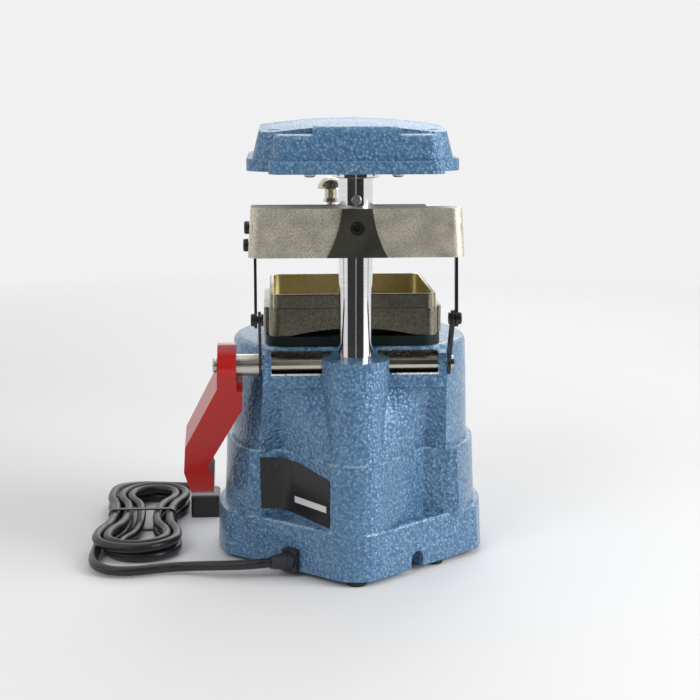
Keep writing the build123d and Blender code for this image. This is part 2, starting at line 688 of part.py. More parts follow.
def link(side):
    x = span_x(side, LINK_X, LINK_T)
    strip = bar_in_yz(ARM_TIP, LINK_TIP, LINK_HALF, x)
    for tip in (ARM_TIP, LINK_TIP):
        strip = strip + along_x(LINK_END_R, x[0], x[1], *tip)
    strip = strip - along_x(BOLT_R + SEAT, x[0] - 1, x[1] + 1, *ARM_TIP)
    return strip - along_x(BOLT_R + RUN, x[0] - 1, x[1] + 1, *LINK_TIP)


def link_bolt(side):
    outer = LINK_X + LINK_T + SEAT
    shank = along_x(BOLT_R, *span_x(side, ARM_X - BOLT_NUT_T - SLIT, outer - ARM_X + BOLT_NUT_T + SLIT + 0.1), *ARM_TIP)
    head = along_x(BOLT_HEAD_R, *span_x(side, outer, BOLT_HEAD_T), *ARM_TIP)
    end = head.faces().sort_by(Axis.X)[-1 if side > 0 else 0]
    return fillet(end.edges(), 1) + shank


def link_nut(side):
    x = span_x(side, ARM_X - SLIT - BOLT_NUT_T, BOLT_NUT_T)
    plane = Plane(origin=(x[0], *ARM_TIP), x_dir=(0, 1, 0), z_dir=(1, 0, 0))
    nut = extrude(plane * RegularPolygon(BOLT_HEAD_R + 0.3, 6), BOLT_NUT_T)
    return nut - along_x(BOLT_R + SEAT, x[0] - 1, x[1] + 1, *ARM_TIP)


def cross_shaft():
    """Round bar from the right-hand arm to the lever, tapped at its end."""
    bar = along_x(SHAFT_R, SHAFT_END_X, SHAFT_TOP_X, SHAFT_Y, SHAFT_Z)
    return bar - along_x(HUB_SCREW_R + SEAT, SHAFT_TOP_X - 14, SHAFT_TOP_X + 1, SHAFT_Y, SHAFT_Z)


def shaft_spacer():
    tube = along_x(SPACER_R, *SPACER_X, SHAFT_Y, SHAFT_Z)
    return tube - along_x(SHAFT_R + SEAT, SPACER_X[0] - 1, SPACER_X[1] + 1, SHAFT_Y, SHAFT_Z)


save("cross_shaft", cross_shaft())
save("shaft_spacer", shaft_spacer())
for label, side in (("left", 1), ("right", -1)):
    save(f"crank_arm_{label}", crank_arm(side))
    save(f"link_{label}", link(side))
save("link_bolts", [link_bolt(1), link_bolt(-1)])
save("link_nuts", [link_nut(1), link_nut(-1)])


# --------------------------------------------------------------------- lever
def lever_front_outline():
    """Front view: offset arm that swells into the grip, depth downwards."""
    hub = (LEVER_HUB_X[0], LEVER_HUB_X[1])
    corners = [
        (hub[0], LEVER_HUB_R), (hub[0], -11.8), (hub[0] - 3.6, -11.8), (hub[0] - 3.6, -27.5),
        (101.0, -78.5), (97.0, -92.0), (97.4, -LEVER_LENGTH), (112.4, -LEVER_LENGTH),
        (117.6, -84.0), (115.9, -61.2), (hub[1] + 0.8, -9.7), (hub[1], LEVER_HUB_R),
    ]
    return Polygon(*corners, align=None)


def lever():
    plane = Plane(origin=(0, 0, 0), x_dir=(1, 0, 0), z_dir=(0, -1, 0))
    front = extrude(plane * lever_front_outline(), 30, both=True)
    side_plane = Plane(origin=(0, 0, 0), x_dir=(0, 1, 0), z_dir=(1, 0, 0))
    circles = [Circle(LEVER_HUB_R), Pos(0, LEVER_END_R - LEVER_LENGTH) * Circle(LEVER_END_R)]
    side = make_hull([edge for circle in circles for edge in circle.edges()])
    body = front & extrude(side_plane * side, 140)
    channel = Polygon((60, -20), (92.5, -20), (111.6, -61.2), (112.6, -LEVER_SOLID_D), (60, -LEVER_SOLID_D), align=None)
    half = LEVER_END_R - LEVER_WALL
    body = body - extrude(plane * channel, half, both=True)
    body = body - along_x(SHAFT_R + SEAT, LEVER_HUB_X[0] - 5, SHAFT_TOP_X + SEAT, 0, 0)
    body = body - along_x(HUB_SCREW_R + SEAT, SHAFT_TOP_X, LEVER_HUB_X[1] + 3, 0, 0)
    return Pos(0, SHAFT_Y, SHAFT_Z) * Rot(-LEVER_LEAN, 0, 0) * body


def lever_screw():
    head = along_x(HUB_SCREW_HEAD_R, LEVER_HUB_X[1] + 0.9, LEVER_HUB_X[1] + 3.6, SHAFT_Y, SHAFT_Z)
    head = fillet(head.faces().sort_by(Axis.X)[-1].edges(), 1)
    return head + along_x(HUB_SCREW_R, SHAFT_TOP_X - 12, LEVER_HUB_X[1] + 1, SHAFT_Y, SHAFT_Z)


save("lever_handle", lever())
save("lever_screw", lever_screw())


# ------------------------------------------------------------------- tray


def arch_cutter(half, rise, reach):
    """Flat arch through a skirt wall, drawn as an arc over its chord."""
    arc = ThreePointArc((-half, 0), (0, rise), (half, 0))
    outline = make_face(Wire([arc.edge(), Line((half, 0), (half, -2)).edge(), Line((half, -2), (-half, -2)).edge(),
                              Line((-half, -2), (-half, 0)).edge()]))
    plane = Plane(origin=(0, 0, TRAY_FOOT_Z), x_dir=(1, 0, 0), z_dir=(0, -1, 0))
    return extrude(plane * outline, reach, both=True)


def sample_tray():
    """Square model tray on an arched skirt, with guide ears at its sides."""
    half = TRAY_SIDE / 2
    low_half = half + TRAY_PROUD
    body = rounded_slab((-half, half), (-half, half), (TRAY_FOOT_Z, TRAY_TOP_Z), TRAY_CORNER)
    body = body + rounded_slab((-low_half, low_half), (-low_half, low_half), (TRAY_FOOT_Z, TRAY_STEP_Z), TRAY_CORNER)
    for side in (-1, 1):
        ear_x = sorted((side * (half - 2), side * TRAY_EAR_X))
        ear = block(ear_x, (-TRAY_EAR_HALF, TRAY_EAR_HALF), (TRAY_EAR_Z, TRAY_STEP_Z))
        outer = ear.faces().sort_by(Axis.X)[-1 if side > 0 else 0]
        body = body + fillet(outer.edges().filter_by(Axis.Z), 2.5)
    inner = TRAY_INNER
    body = body - rounded_slab((-inner, inner), (-inner, inner), (TRAY_FLOOR_Z + TRAY_FLOOR_T, TRAY_TOP_Z + 1), 6)
    body = body - rounded_slab((-inner, inner), (-inner, inner), (TRAY_FOOT_Z - 1, TRAY_FLOOR_Z), 6)
    body = body - upright(SCREEN_R - SCREEN_LEDGE, TRAY_FLOOR_Z - 1, TRAY_TOP_Z)
    body = body - upright(SCREEN_R + SEAT, TRAY_FLOOR_Z + TRAY_FLOOR_T - SCREEN_T, TRAY_TOP_Z)
    arch = arch_cutter(TRAY_ARCH_HALF, TRAY_FLOOR_Z - TRAY_FOOT_Z - 0.8, 70)
    body = body - arch - Rot(0, 0, 90) * arch
    rim = top_face(body)
    return chamfer(rim.outer_wire().edges(), 0.8)


def perforated_plate():
    """Round screen that the model stands on, holes in a square grid."""
    top = TRAY_FLOOR_Z + TRAY_FLOOR_T
    disc = upright(SCREEN_R, top - SCREEN_T, top)
    count = int(SCREEN_R / SCREEN_HOLE_PITCH)
    reach = SCREEN_R - SCREEN_LEDGE - SCREEN_HOLE_R - 1
    places = []
    for i in range(-count, count + 1):
        for j in range(-count, count + 1):
            x, y = i * SCREEN_HOLE_PITCH, j * SCREEN_HOLE_PITCH
            if hypotenuse((x, y)) < reach:
                places.append(Location((x, y, top - SCREEN_T - 1)))
    holes = extrude(Sketch() + [place * Circle(SCREEN_HOLE_R) for place in places], SCREEN_T + 2)
    return disc - holes


save("sample_tray", sample_tray())
save("perforated_plate", perforated_plate())


# --------------------------------------------------------------- sheet frames
def drafted_block(half_low, half_high, y, z, corner):
    """Upright block with rounded corners whose sides lean in."""
    sections = []
    for half, level in ((half_low, z[0]), (half_high, z[1])):
        outline = RectangleRounded(2 * half, y[1] - y[0], corner)
        sections.append(Pos(0, (y[0] + y[1]) / 2, level) * outline)
    return loft(sections, ruled=True)


def machined_boss():
    """Flared pad at the rear with concave sides, faced off flat."""
    top, foot = BOSS_TOP_W / 2, BOSS_FOOT_W / 2
    waist = top + (foot - top) * 0.32
    middle_z = (FRAME_BOTTOM_Z + BAR_TOP_Z) / 2
    left = ThreePointArc((-foot, FRAME_BOTTOM_Z), (-waist, middle_z), (-top, BAR_TOP_Z))
    right = ThreePointArc((top, BAR_TOP_Z), (waist, middle_z), (foot, FRAME_BOTTOM_Z))
    cap = Line((-top, BAR_TOP_Z), (top, BAR_TOP_Z))
    base = Line((foot, FRAME_BOTTOM_Z), (-foot, FRAME_BOTTOM_Z))
    plane = Plane(origin=(0, BOSS_FACE_Y, 0), x_dir=(1, 0, 0), z_dir=(0, -1, 0))
    return extrude(plane * make_face(Wire([left.edge(), cap.edge(), right.edge(), base.edge()])), BOSS_FACE_Y - COL_Y)


def bar_hollow():
    """Room inside the rear bar, open below, roomier beside the links."""
    y = (BAR_FRONT_Y + BAR_WALL, BAR_REAR_Y - BAR_WALL)
    low = FRAME_BOTTOM_Z - 1
    top = BAR_TOP_Z - BAR_WALL
    inner = BAR_SIDE_X - BAR_WALL
    hollow = block((BAR_STEP_X + 1, inner), y, (low, top))
    hollow = hollow + block((-inner, BAR_STEP_X + 2), y, (low, BAR_STEP_Z - BAR_WALL))
    hollow = hollow + block((-inner, BAR_STEP_X + 2), (BAR_STEP_Y + BAR_WALL, y[1]), (low, top))
    return hollow + block((-BAR_SIDE_X, BAR_SIDE_X), y, (low, BAR_SIDE_Z))


def knuckle_slots():
    half = KNUCKLE_R + KNUCKLE_AIR
    slots = []
    for side in (-1, 1):
        x = sorted((side * (KNUCKLE_X[0] - SLIT), side * (KNUCKLE_X[1] + SLIT)))
        slots.append(block(x, (BAR_FRONT_Y - 1, BAR_FRONT_Y + BAR_WALL + 1), (HINGE_Z - half, HINGE_Z + half)))
    return slots


def hinge_webs():
    """Thin ribs inside the bar that hold the hinge pins."""
    webs = []
    for side in (-1, 1):
        for x in (KNUCKLE_X[0] - SLIT - HINGE_WEB, KNUCKLE_X[1] + SLIT):
            ends = sorted((side * x, side * (x + HINGE_WEB)))
            y = (BAR_FRONT_Y + 1, HINGE_Y + KNUCKLE_R + 1)
            webs.append(block(ends, y, (HINGE_Z - KNUCKLE_R - 2, BAR_STEP_Z - BAR_WALL + 0.5)))
    return webs


def lower_frame():
    """Cast frame: ring with a sheet shelf, hollow rear bar and column boss."""
    y = (FRAME_FRONT_Y, BAR_REAR_Y)
    body = drafted_block(FRAME_FOOT_HALF, FRAME_TOP_HALF, y, (FRAME_BOTTOM_Z, BAR_TOP_Z), FRAME_CORNER)
    body = body - block((-100, 100), (-100, BAR_FRONT_Y), (SHEET_Z, BAR_TOP_Z + 1))
    body = body - block((-100, BAR_STEP_X), (-100, BAR_STEP_Y), (BAR_STEP_Z, BAR_TOP_Z + 1))
    shelf, opening = SHELF_HALF, OPENING_HALF
    low = SHEET_Z - SHELF_T
    body = body - rounded_slab((-shelf, shelf), (-shelf, shelf), (low - 1, SHEET_Z + 1), OPENING_CORNER)
    body = body - rounded_slab((-opening, opening), (-opening, opening), (FRAME_BOTTOM_Z - 1, low), OPENING_CORNER)
    body = body - bar_hollow()
    for web in hinge_webs():
        body = body + web
    for slot in knuckle_slots():
        body = body - slot
    for side in (-1, 1):
        ends = sorted((side * (KNUCKLE_X[0] - HINGE_WEB), side * (KNUCKLE_X[1] + HINGE_WEB)))
        body = body - along_x(HINGE_PIN_R + SEAT, ends[0] - 0.5, ends[1] + 0.5, HINGE_Y, HINGE_Z)
    body = body + upright(FRAME_BOSS_R, FRAME_BOTTOM_Z, BAR_TOP_Z, 0, COL_Y) + machined_boss()
    body = body - upright(BUSH_R + SEAT, FRAME_BOTTOM_Z - 1, BAR_TOP_Z + 1, 0, COL_Y)
    body = body - along_y(SET_SCREW_R + SEAT, COL_Y + BUSH_R - 1, BOSS_FACE_Y + 1, 0, SET_SCREW_Z)
    lug = rounded_slab((KNOB_X - LUG_W / 2, KNOB_X + LUG_W / 2), (LUG_FRONT_Y, FRAME_FRONT_Y + 6), (low, SHEET_Z), 3)
    body = body + lug - upright(SCREW_R + RUN, low - 1, SHEET_Z + 1, KNOB_X, KNOB_Y)
    for z in SIDE_SCREW_Z:
        body = body - along_x(SIDE_SHANK_R + SEAT, BAR_SIDE_X - 1, FRAME_FOOT_HALF + 1, SIDE_SCREW_Y, z)
    for side in (-1, 1):
        pin = sorted((side * (BAR_SIDE_X - 1), side * (FRAME_FOOT_HALF + 1)))
        body = body - along_x(BOLT_R + SEAT, pin[0], pin[1], *LINK_TIP)
    return body


def side_wall_x(z):
    """Outer face of the frame's drafted side at a height."""
    share = (z - FRAME_BOTTOM_Z) / (BAR_TOP_Z - FRAME_BOTTOM_Z)
    return FRAME_FOOT_HALF + (FRAME_TOP_HALF - FRAME_FOOT_HALF) * share


def side_screw(z):
    face = side_wall_x(z - SIDE_HEAD_R)
    head = along_x(SIDE_HEAD_R, face + SEAT, face + SIDE_HEAD_T, SIDE_SCREW_Y, z)
    head = fillet(head.faces().sort_by(Axis.X)[-1].edges(), 1.2)
    return head + along_x(SIDE_SHANK_R, BAR_SIDE_X + SEAT, face + 1, SIDE_SCREW_Y, z)


def link_pin(side):
    """Pivot pin of a link, riveted flush into the bar's side wall."""
    ends = sorted((side * BAR_SIDE_X, side * (side_wall_x(LINK_TIP[1] + BOLT_R) - SEAT)))
    return along_x(BOLT_R, ends[0], ends[1], *LINK_TIP)


def hinge_pin(side):
    ends = sorted((side * (KNUCKLE_X[0] - HINGE_WEB), side * (KNUCKLE_X[1] + HINGE_WEB)))
    return along_x(HINGE_PIN_R, ends[0], ends[1], HINGE_Y, HINGE_Z)


def guide_bush():
    tube = upright(BUSH_R, FRAME_BOTTOM_Z, BAR_TOP_Z, 0, COL_Y)
    return tube - upright(COL_R + RUN, FRAME_BOTTOM_Z - 1, BAR_TOP_Z + 1, 0, COL_Y)


def set_screw():
    """Grub screw, a little below the machined face, with a hexagon socket."""
    start = COL_Y + BUSH_R + 0.05
    body = along_y(SET_SCREW_R, start, BOSS_FACE_Y - 0.8, 0, SET_SCREW_Z)
    plane = Plane(origin=(0, BOSS_FACE_Y, SET_SCREW_Z), x_dir=(1, 0, 0), z_dir=(0, -1, 0))
    return body - extrude(plane * RegularPolygon(SET_SCREW_TIP_R, 6), 3.2)


save("lower_frame", lower_frame())
save("guide_bush", guide_bush())
save("set_screw", set_screw())
save("hinge_pins", [hinge_pin(1), hinge_pin(-1)])
save("link_pins", [link_pin(1), link_pin(-1)])
save("side_screws", [side_screw(z) for z in SIDE_SCREW_Z])


def clamp_frame():
    """Upper frame that presses the plastic sheet onto the shelf."""
    z = (CLAMP_Z, CLAMP_Z + CLAMP_T)
    y = (CLAMP_FRONT_Y, CLAMP_REAR_Y)
    body = rounded_slab((-CLAMP_HALF, CLAMP_HALF), y, z, CLAMP_CORNER)
    body = chamfer(top_face(body).edges(), 1.2)
    for side in (-1, 1):
        x = sorted((side * KNUCKLE_X[0], side * KNUCKLE_X[1]))
        body = body + block(x, (CLAMP_REAR_Y - 2, HINGE_Y), (HINGE_Z - KNUCKLE_R + 0.4, HINGE_Z + KNUCKLE_R - 0.4))
        body = body + along_x(KNUCKLE_R, x[0], x[1], HINGE_Y, HINGE_Z)
        body = body - along_x(HINGE_PIN_R + RUN, x[0] - 1, x[1] + 1, HINGE_Y, HINGE_Z)
    lug_x = (KNOB_X - LUG_W / 2, KNOB_X + LUG_W / 2)
    body = body + rounded_slab(lug_x, (LUG_FRONT_Y, CLAMP_FRONT_Y + 6), (z[0], z[1] - 1), 3)
    opening = CLAMP_OPENING
    body = body - rounded_slab((-opening, opening), (-opening, opening), (z[0] - 1, z[1] + 1), OPENING_CORNER)
    seal_half = opening + SEAL_W
    body = body - rounded_slab((-seal_half, seal_half), (-seal_half, seal_half), (z[0] - 1, z[0] + SEAL_T), 8)
    return body - upright(SCREW_R + RUN, z[0] - 1, z[1] + 1, KNOB_X, KNOB_Y)


def clamp_seal():
    """Flat rubber ring under the upper frame."""
    outer = CLAMP_OPENING + SEAL_W - SEAT
    z = (CLAMP_Z - 0.3, CLAMP_Z + SEAL_T - SEAT)
    ring = rounded_slab((-outer, outer), (-outer, outer), z, 8)
    inner = CLAMP_OPENING + 0.2
    return ring - rounded_slab((-inner, inner), (-inner, inner), (z[0] - 1, z[1] + 1), OPENING_CORNER)


def clamp_knob():
    """Mushroom knob, hollow under its dome, turned from bar."""
    low = CLAMP_Z + CLAMP_T + 1.6
    rim = KNOB_TOP_Z - 9.0
    stem = Line((SCREW_R + SEAT, low), (KNOB_STEM_R + 1.6, low))
    flare = Line((KNOB_STEM_R + 1.6, low), (KNOB_STEM_R, low + 3))
    neck = Line((KNOB_STEM_R, low + 3), (KNOB_STEM_R, rim + 1.8))
    under = Line((KNOB_STEM_R, rim + 1.8), (KNOB_R - 1.4, rim))
    lip = Line((KNOB_R - 1.4, rim), (KNOB_R, rim))
    rise = KNOB_TOP_Z - rim
    crown_r = (KNOB_R ** 2 + rise ** 2) / (2 * rise)
    half_turn = asin(min(1.0, KNOB_R / crown_r)) / 2
    crest = (crown_r * sin(half_turn), KNOB_TOP_Z - crown_r * (1 - cos(half_turn)))
    dome = ThreePointArc((KNOB_R, rim), crest, (0, KNOB_TOP_Z))
    axis = Line((0, KNOB_TOP_Z), (0, SCREW_TOP_Z + 5))
    seat = Line((0, SCREW_TOP_Z + 5), (SCREW_R + SEAT, SCREW_TOP_Z + 5))
    bore = Line((SCREW_R + SEAT, SCREW_TOP_Z + 5), (SCREW_R + SEAT, low))
    edges = [stem, flare, neck, under, lip, dome, axis, seat, bore]
    profile = make_face(Wire([edge.edge() for edge in edges]))
    return Pos(KNOB_X, KNOB_Y, 0) * revolve(Plane.XZ * profile, Axis.Z)


def clamp_screw():
    """Captive screw, shown turned out of the lower frame."""
    rod = upright(SCREW_R, SHEET_Z + 0.3, SCREW_TOP_Z + 5 - SEAT, KNOB_X, KNOB_Y)
    return chamfer(rod.faces().sort_by(Axis.Z)[0].edges(), 0.6)


save("clamp_frame", clamp_frame())
save("clamp_seal", clamp_seal())
save("clamp_knob", clamp_knob())
save("clamp_screw", clamp_screw())


# ---------------------------------------------------------------------- head


def head_body():
    """Outer form: lip all round, crowned square hood and lower rear block."""
    lip = rounded_slab((-HEAD_HALF, HEAD_HALF), (-HEAD_HALF, HEAD_HALF), (HEAD_Z, HEAD_LIP_TOP), HEAD_CORNER)
    lip = lip + rounded_slab((-BLOCK_HALF, BLOCK_HALF), (0, BLOCK_Y), (HEAD_Z, HEAD_LIP_TOP), 9)
    lip = chamfer(top_face(lip).edges(), 0.8)
    low_half = HEAD_HALF - HEAD_INSET
    low = Pos(0, 0, HEAD_LIP_TOP) * RectangleRounded(2 * low_half, 2 * low_half, HEAD_CORNER - 3)
    high = Pos(0, 0, HEAD_TOP_Z) * RectangleRounded(2 * HEAD_TOP_HALF, 2 * HEAD_TOP_HALF, HEAD_CORNER - 8)
    hood = loft([low, high], ruled=True)
    hood = fillet(top_face(hood).edges(), HEAD_ROUND)
    hood = hood & (Pos(0, 0, HEAD_TOP_Z - HEAD_CROWN_R) * Sphere(HEAD_CROWN_R))
    half = BLOCK_HALF - BLOCK_INSET
    rear = rounded_slab((-half, half), (0, BLOCK_Y - BLOCK_INSET), (HEAD_LIP_TOP, BLOCK_TOP_Z), 7)
    rear = fillet(top_face(rear).edges(), 3.5)
    ridge = block((-RIDGE_HALF, RIDGE_HALF), (0, BLOCK_Y - BLOCK_INSET), (HEAD_LIP_TOP, RIDGE_TOP_Z))
    ridge = fillet(top_face(ridge).edges(), 3.5)
    return lip + hood + rear + ridge


def pan_section(half, z, clearance):
    return Pos(0, 0, z) * RectangleRounded(2 * (half + clearance), 2 * (half + clearance), 12)


def head_housing():
    body = head_body()
    # heater room over the sheet
    room_half = HEAD_HALF - HEAD_INSET - HEAD_WALL
    top_half = HEAD_TOP_HALF - HEAD_WALL
    low = Pos(0, 0, HEAD_Z - 1) * RectangleRounded(2 * room_half, 2 * room_half, HEAD_CORNER - 6)
    high = Pos(0, 0, HEAD_TOP_Z - HEAD_WALL - 3) * RectangleRounded(2 * top_half, 2 * top_half, HEAD_CORNER - 11)
    body = body - loft([low, high], ruled=True)
    # wiring room round the column boss
    y = WIRE_ROOM_Y
    room = block((-WIRE_ROOM_HALF, WIRE_ROOM_HALF), y, (HEAD_Z - 1, WIRE_ROOM_TOP))
    room = room - upright(HEAD_BOSS_R, HEAD_Z, WIRE_ROOM_TOP + 1, 0, COL_Y)
    for x in HEAD_SCREW_X:
        room = room - upright(HEAD_SCREW_R, HEAD_Z + WIRE_COVER_T, WIRE_ROOM_TOP + 1, x, WIRE_COVER_SCREW_Y)
    body = body - room
    body = body - wire_cover_blank(0)
    for x in HEAD_SCREW_X:
        body = body - upright(HEAD_SHANK_R + SEAT, HEAD_Z - 1, HEAD_Z + 14, x, WIRE_COVER_SCREW_Y)
    for x, y in post_places():
        body = body + upright(POST_R, PAN_Z[1] + SEAT, HEAD_TOP_Z - HEAD_WALL, x, y)
    return body - upright(COL_R + RUN, HEAD_Z - 1, COL_TOP_Z + AIR, 0, COL_Y)


def post_places():
    return [(x, y) for x in (-POST_AT, POST_AT) for y in (-POST_AT, POST_AT)]


def wire_cover_blank(clearance):
    """Plate let into the underside of the rear block."""
    half = WIRE_ROOM_HALF + 3 - clearance
    y = (WIRE_ROOM_Y[0] - 3 + clearance, WIRE_ROOM_Y[1] + 3 - clearance)
    return rounded_slab((-half, half), y, (HEAD_Z, HEAD_Z + WIRE_COVER_T), 4)


def wire_cover():
    plate = wire_cover_blank(SLIT) - upright(COL_R + RUN + 1, HEAD_Z - 1, HEAD_Z + 3, 0, COL_Y)
    for x in HEAD_SCREW_X:
        plate = plate - upright(HEAD_SHANK_R + SEAT, HEAD_Z - 1, HEAD_Z + 3, x, WIRE_COVER_SCREW_Y)
    return plate


def head_screw(x):
    """Domed screw under the rear block."""
    head = upright(HEAD_SCREW_R, HEAD_Z - 2.6, HEAD_Z - SEAT, x, WIRE_COVER_SCREW_Y)
    head = fillet(head.faces().sort_by(Axis.Z)[0].edges(), 2)
    return head + upright(HEAD_SHANK_R, HEAD_Z - 1, HEAD_Z + 12, x, WIRE_COVER_SCREW_Y)


def heat_reflector():
    """Bright pan over the element, open towards the sheet."""
    outer = loft([pan_section(PAN_HALF, PAN_Z[0], 0), pan_section(PAN_TOP_HALF, PAN_Z[1], 0)], ruled=True)
    slope = (PAN_HALF - PAN_TOP_HALF) / (PAN_Z[1] - PAN_Z[0])
    inner_low = pan_section(PAN_HALF + slope, PAN_Z[0] - 1, -PAN_T)
    inner_high = pan_section(PAN_TOP_HALF + slope * PAN_T, PAN_Z[1] - PAN_T, -PAN_T)
    return outer - loft([inner_low, inner_high], ruled=True)


def element_rows():
    return [(i - (ELEMENT_RUNS - 1) / 2) * ELEMENT_PITCH for i in range(ELEMENT_RUNS)]


def heating_element():
    """Sheathed rod bent to and fro, its ends turned up through the pan."""
    rows = element_rows()
    half = ELEMENT_HALF
    bend = ELEMENT_PITCH / 2
    edges = []
    for i, y in enumerate(rows):
        side = 1 if i % 2 == 0 else -1
        edges.append(Line((-side * half, y, ELEMENT_Z), (side * half, y, ELEMENT_Z)).edge())
        if i + 1 < len(rows):
            tip = (side * (half + bend), y + bend, ELEMENT_Z)
            edges.append(ThreePointArc((side * half, y, ELEMENT_Z), tip, (side * half, rows[i + 1], ELEMENT_Z)).edge())
    path = Wire(edges)
    start = Plane(origin=(-half, rows[0], ELEMENT_Z), z_dir=(1, 0, 0))
    return sweep(start * Circle(ELEMENT_R), path=path)


def element_holder(x):
    """Comb that carries the rod under the pan."""
    reach = ELEMENT_PITCH * (ELEMENT_RUNS - 1) / 2 + ELEMENT_R + 2
    ends = (x - HOLDER_T / 2, x + HOLDER_T / 2)
    plate = block(ends, (-min(reach, PAN_TOP_HALF - 4), min(reach, PAN_TOP_HALF - 4)),
                  (ELEMENT_Z - ELEMENT_R - 1.5, PAN_Z[1] - PAN_T - SEAT))
    for y in element_rows():
        plate = plate - along_x(ELEMENT_R + SEAT, ends[0] - 1, ends[1] + 1, y, ELEMENT_Z)
    return plate


def head_collar():
    """Clamp ring on the column that the head turns on."""
    top = HEAD_Z - AIR
    ring = upright(COLLAR_R, top - COLLAR_T, top, 0, COL_Y)
    ring = chamfer(ring.faces().sort_by(Axis.Z)[0].edges(), 0.5)
    return ring - upright(COL_R + SEAT, top - COLLAR_T - 1, top + 1, 0, COL_Y)


save("head_housing", head_housing())
save("wire_cover", wire_cover())
save("head_screws", [head_screw(x) for x in HEAD_SCREW_X])
save("heat_reflector", heat_reflector())
save("heating_element", heating_element())
save("element_holders", [element_holder(HOLDER_X), element_holder(-HOLDER_X)])
save("head_collar", head_collar())


# ------------------------------------------------------------------ switches
def switch_bezel(x):
    """Moulded frame with the switch body behind it."""
    lip_w, lip_h = SWITCH_W / 2 + BEZEL_LIP, SWITCH_H / 2 + BEZEL_LIP
    lip = block((x - lip_w, x + lip_w), (PANEL_Y - BEZEL_T, PANEL_Y), (SWITCH_Z - lip_h, SWITCH_Z + lip_h))
    lip = fillet(lip.edges().filter_by(Axis.Y), 1.2)
    shell = block((x - SWITCH_W / 2, x + SWITCH_W / 2), (PANEL_Y - 0.1, PANEL_Y + SWITCH_DEPTH),
                  (SWITCH_Z - SWITCH_H / 2, SWITCH_Z + SWITCH_H / 2))
    room_w = ROCKER_W / 2 + AIR
    room_h = ROCKER_H / 2 + 0.8
    room_y = (PANEL_Y - BEZEL_T - 1, PANEL_Y + ROCKER_BACK + ROCKER_PIVOT_IN + 1)
    room = block((x - room_w, x + room_w), room_y, (SWITCH_Z - room_h, SWITCH_Z + room_h))
    return lip + shell - room


def rocker(x):
    """Rocker key with two facets, at rest tipped to its off side."""
    half = ROCKER_H / 2
    points = [(-ROCKER_OUT, half), (-ROCKER_OUT + 1.4, 0), (-ROCKER_OUT, -half), (ROCKER_BACK, 2 - half),
              (ROCKER_BACK, half - 2)]
    plane = Plane(origin=(-ROCKER_W / 2, 0, 0), x_dir=(0, 1, 0), z_dir=(1, 0, 0))
    key = extrude(plane * Polygon(*points, align=None), ROCKER_W)
    return Pos(x, PANEL_Y - BEZEL_T + ROCKER_PIVOT_IN, SWITCH_Z) * Rot(ROCKER_TILT, 0, 0) * key


save("switch_bezels", [switch_bezel(x) for x in switch_places()])
save("heat_rocker", rocker(-SWITCH_X))
save("vacuum_rocker", rocker(SWITCH_X))


# ---------------------------------------------------------------- mains lead


def gland_face():
    """Centre of the outer face of the gland block."""
    plane = flank_frame(1)
    return plane.origin + plane.z_dir * GLAND_OUT + Vector(0, 0, GLAND_Z)


def sleeve_end():
    face = gland_face()
    return face + Vector(SLEEVE_OUT[0], SLEEVE_OUT[1], 0) * SLEEVE_LENGTH


def strain_relief():
    """Block on the flank, tongue in the notch and a moulded tapered sleeve."""
    top = GLAND_FOOT_Z + GLAND_H
    outline = Pos(0, -(top + GLAND_FOOT_Z) / 2) * RectangleRounded(GLAND_W, GLAND_H, 3)
    body = extrude(flank_frame(1, -SEAT) * outline, GLAND_OUT - SEAT)
    tongue = notch_outline(CORD_NOTCH_W - 2 * SLIT, CORD_NOTCH_TOP - SLIT)
    foot = Rectangle(2 * CORD_NOTCH_W, 2 * FOOT_H + 1)
    body = body + extrude(flank_frame(1, GLAND_TONGUE) * (tongue - foot), GLAND_TONGUE + 1)
    face = gland_face()
    first = Plane(origin=face, z_dir=(SLEEVE_OUT[0], SLEEVE_OUT[1], 0))
    last = Plane(origin=sleeve_end(), z_dir=(SLEEVE_OUT[0], SLEEVE_OUT[1], 0))
    body = body + Pos(*face) * Sphere(SLEEVE_R[0])
    return body + loft([first * Circle(SLEEVE_R[0]), last * Circle(SLEEVE_R[1])])


def tube_along(points, name):
    """Round cable through a list of points with arcs as large as they allow."""
    vectors = [Vector(*p) for p in points]
    radii = []
    for before, here, after in zip(vectors, vectors[1:], vectors[2:]):
        turn = radians((here - before).get_angle(after - here))
        shorter = min((here - before).length, (after - here).length)
        radii.append(0.45 * shorter / tan(turn / 2))
    path = FilletPolyline(*vectors, radius=radii)
    start = Plane(origin=vectors[0], z_dir=(vectors[1] - vectors[0]).normalized())
    tube = sweep(start * Circle(CORD_R), path=path)
    expected = 3.14159265 * CORD_R ** 2 * path.length
    print(name, "length", round(path.length), "radii", [round(r) for r in radii],
          "volume ratio", round(tube.volume / expected, 4))
    return tube, path


lead_start = sleeve_end()
lead_turn = lead_start + Vector(SLEEVE_OUT[0], SLEEVE_OUT[1], 0) * FIRST_RUN
LEAD_POINTS = [
    tuple(lead_start), tuple(lead_turn), (78.5, 80.3, 10.5), (90.5, 76.0, 9.0),
    (104.0, 70.0, 7.0), (119.0, 66.0, 5.5), (134.0, 67.0, 4.9), (148.0, 71.0, LAYER_Z[0]),
    (161.5, 72.0, LAYER_Z[0]), (172.5, 66.5, LAYER_Z[0]), (180.0, 56.0, LAYER_Z[0]),
    (182.4, 43.0, LAYER_Z[0]), (HANK_START_X, 29.5, LAYER_Z[0]), (HANK_START_X, NEAR_END_Y, LAYER_Z[0]),
]


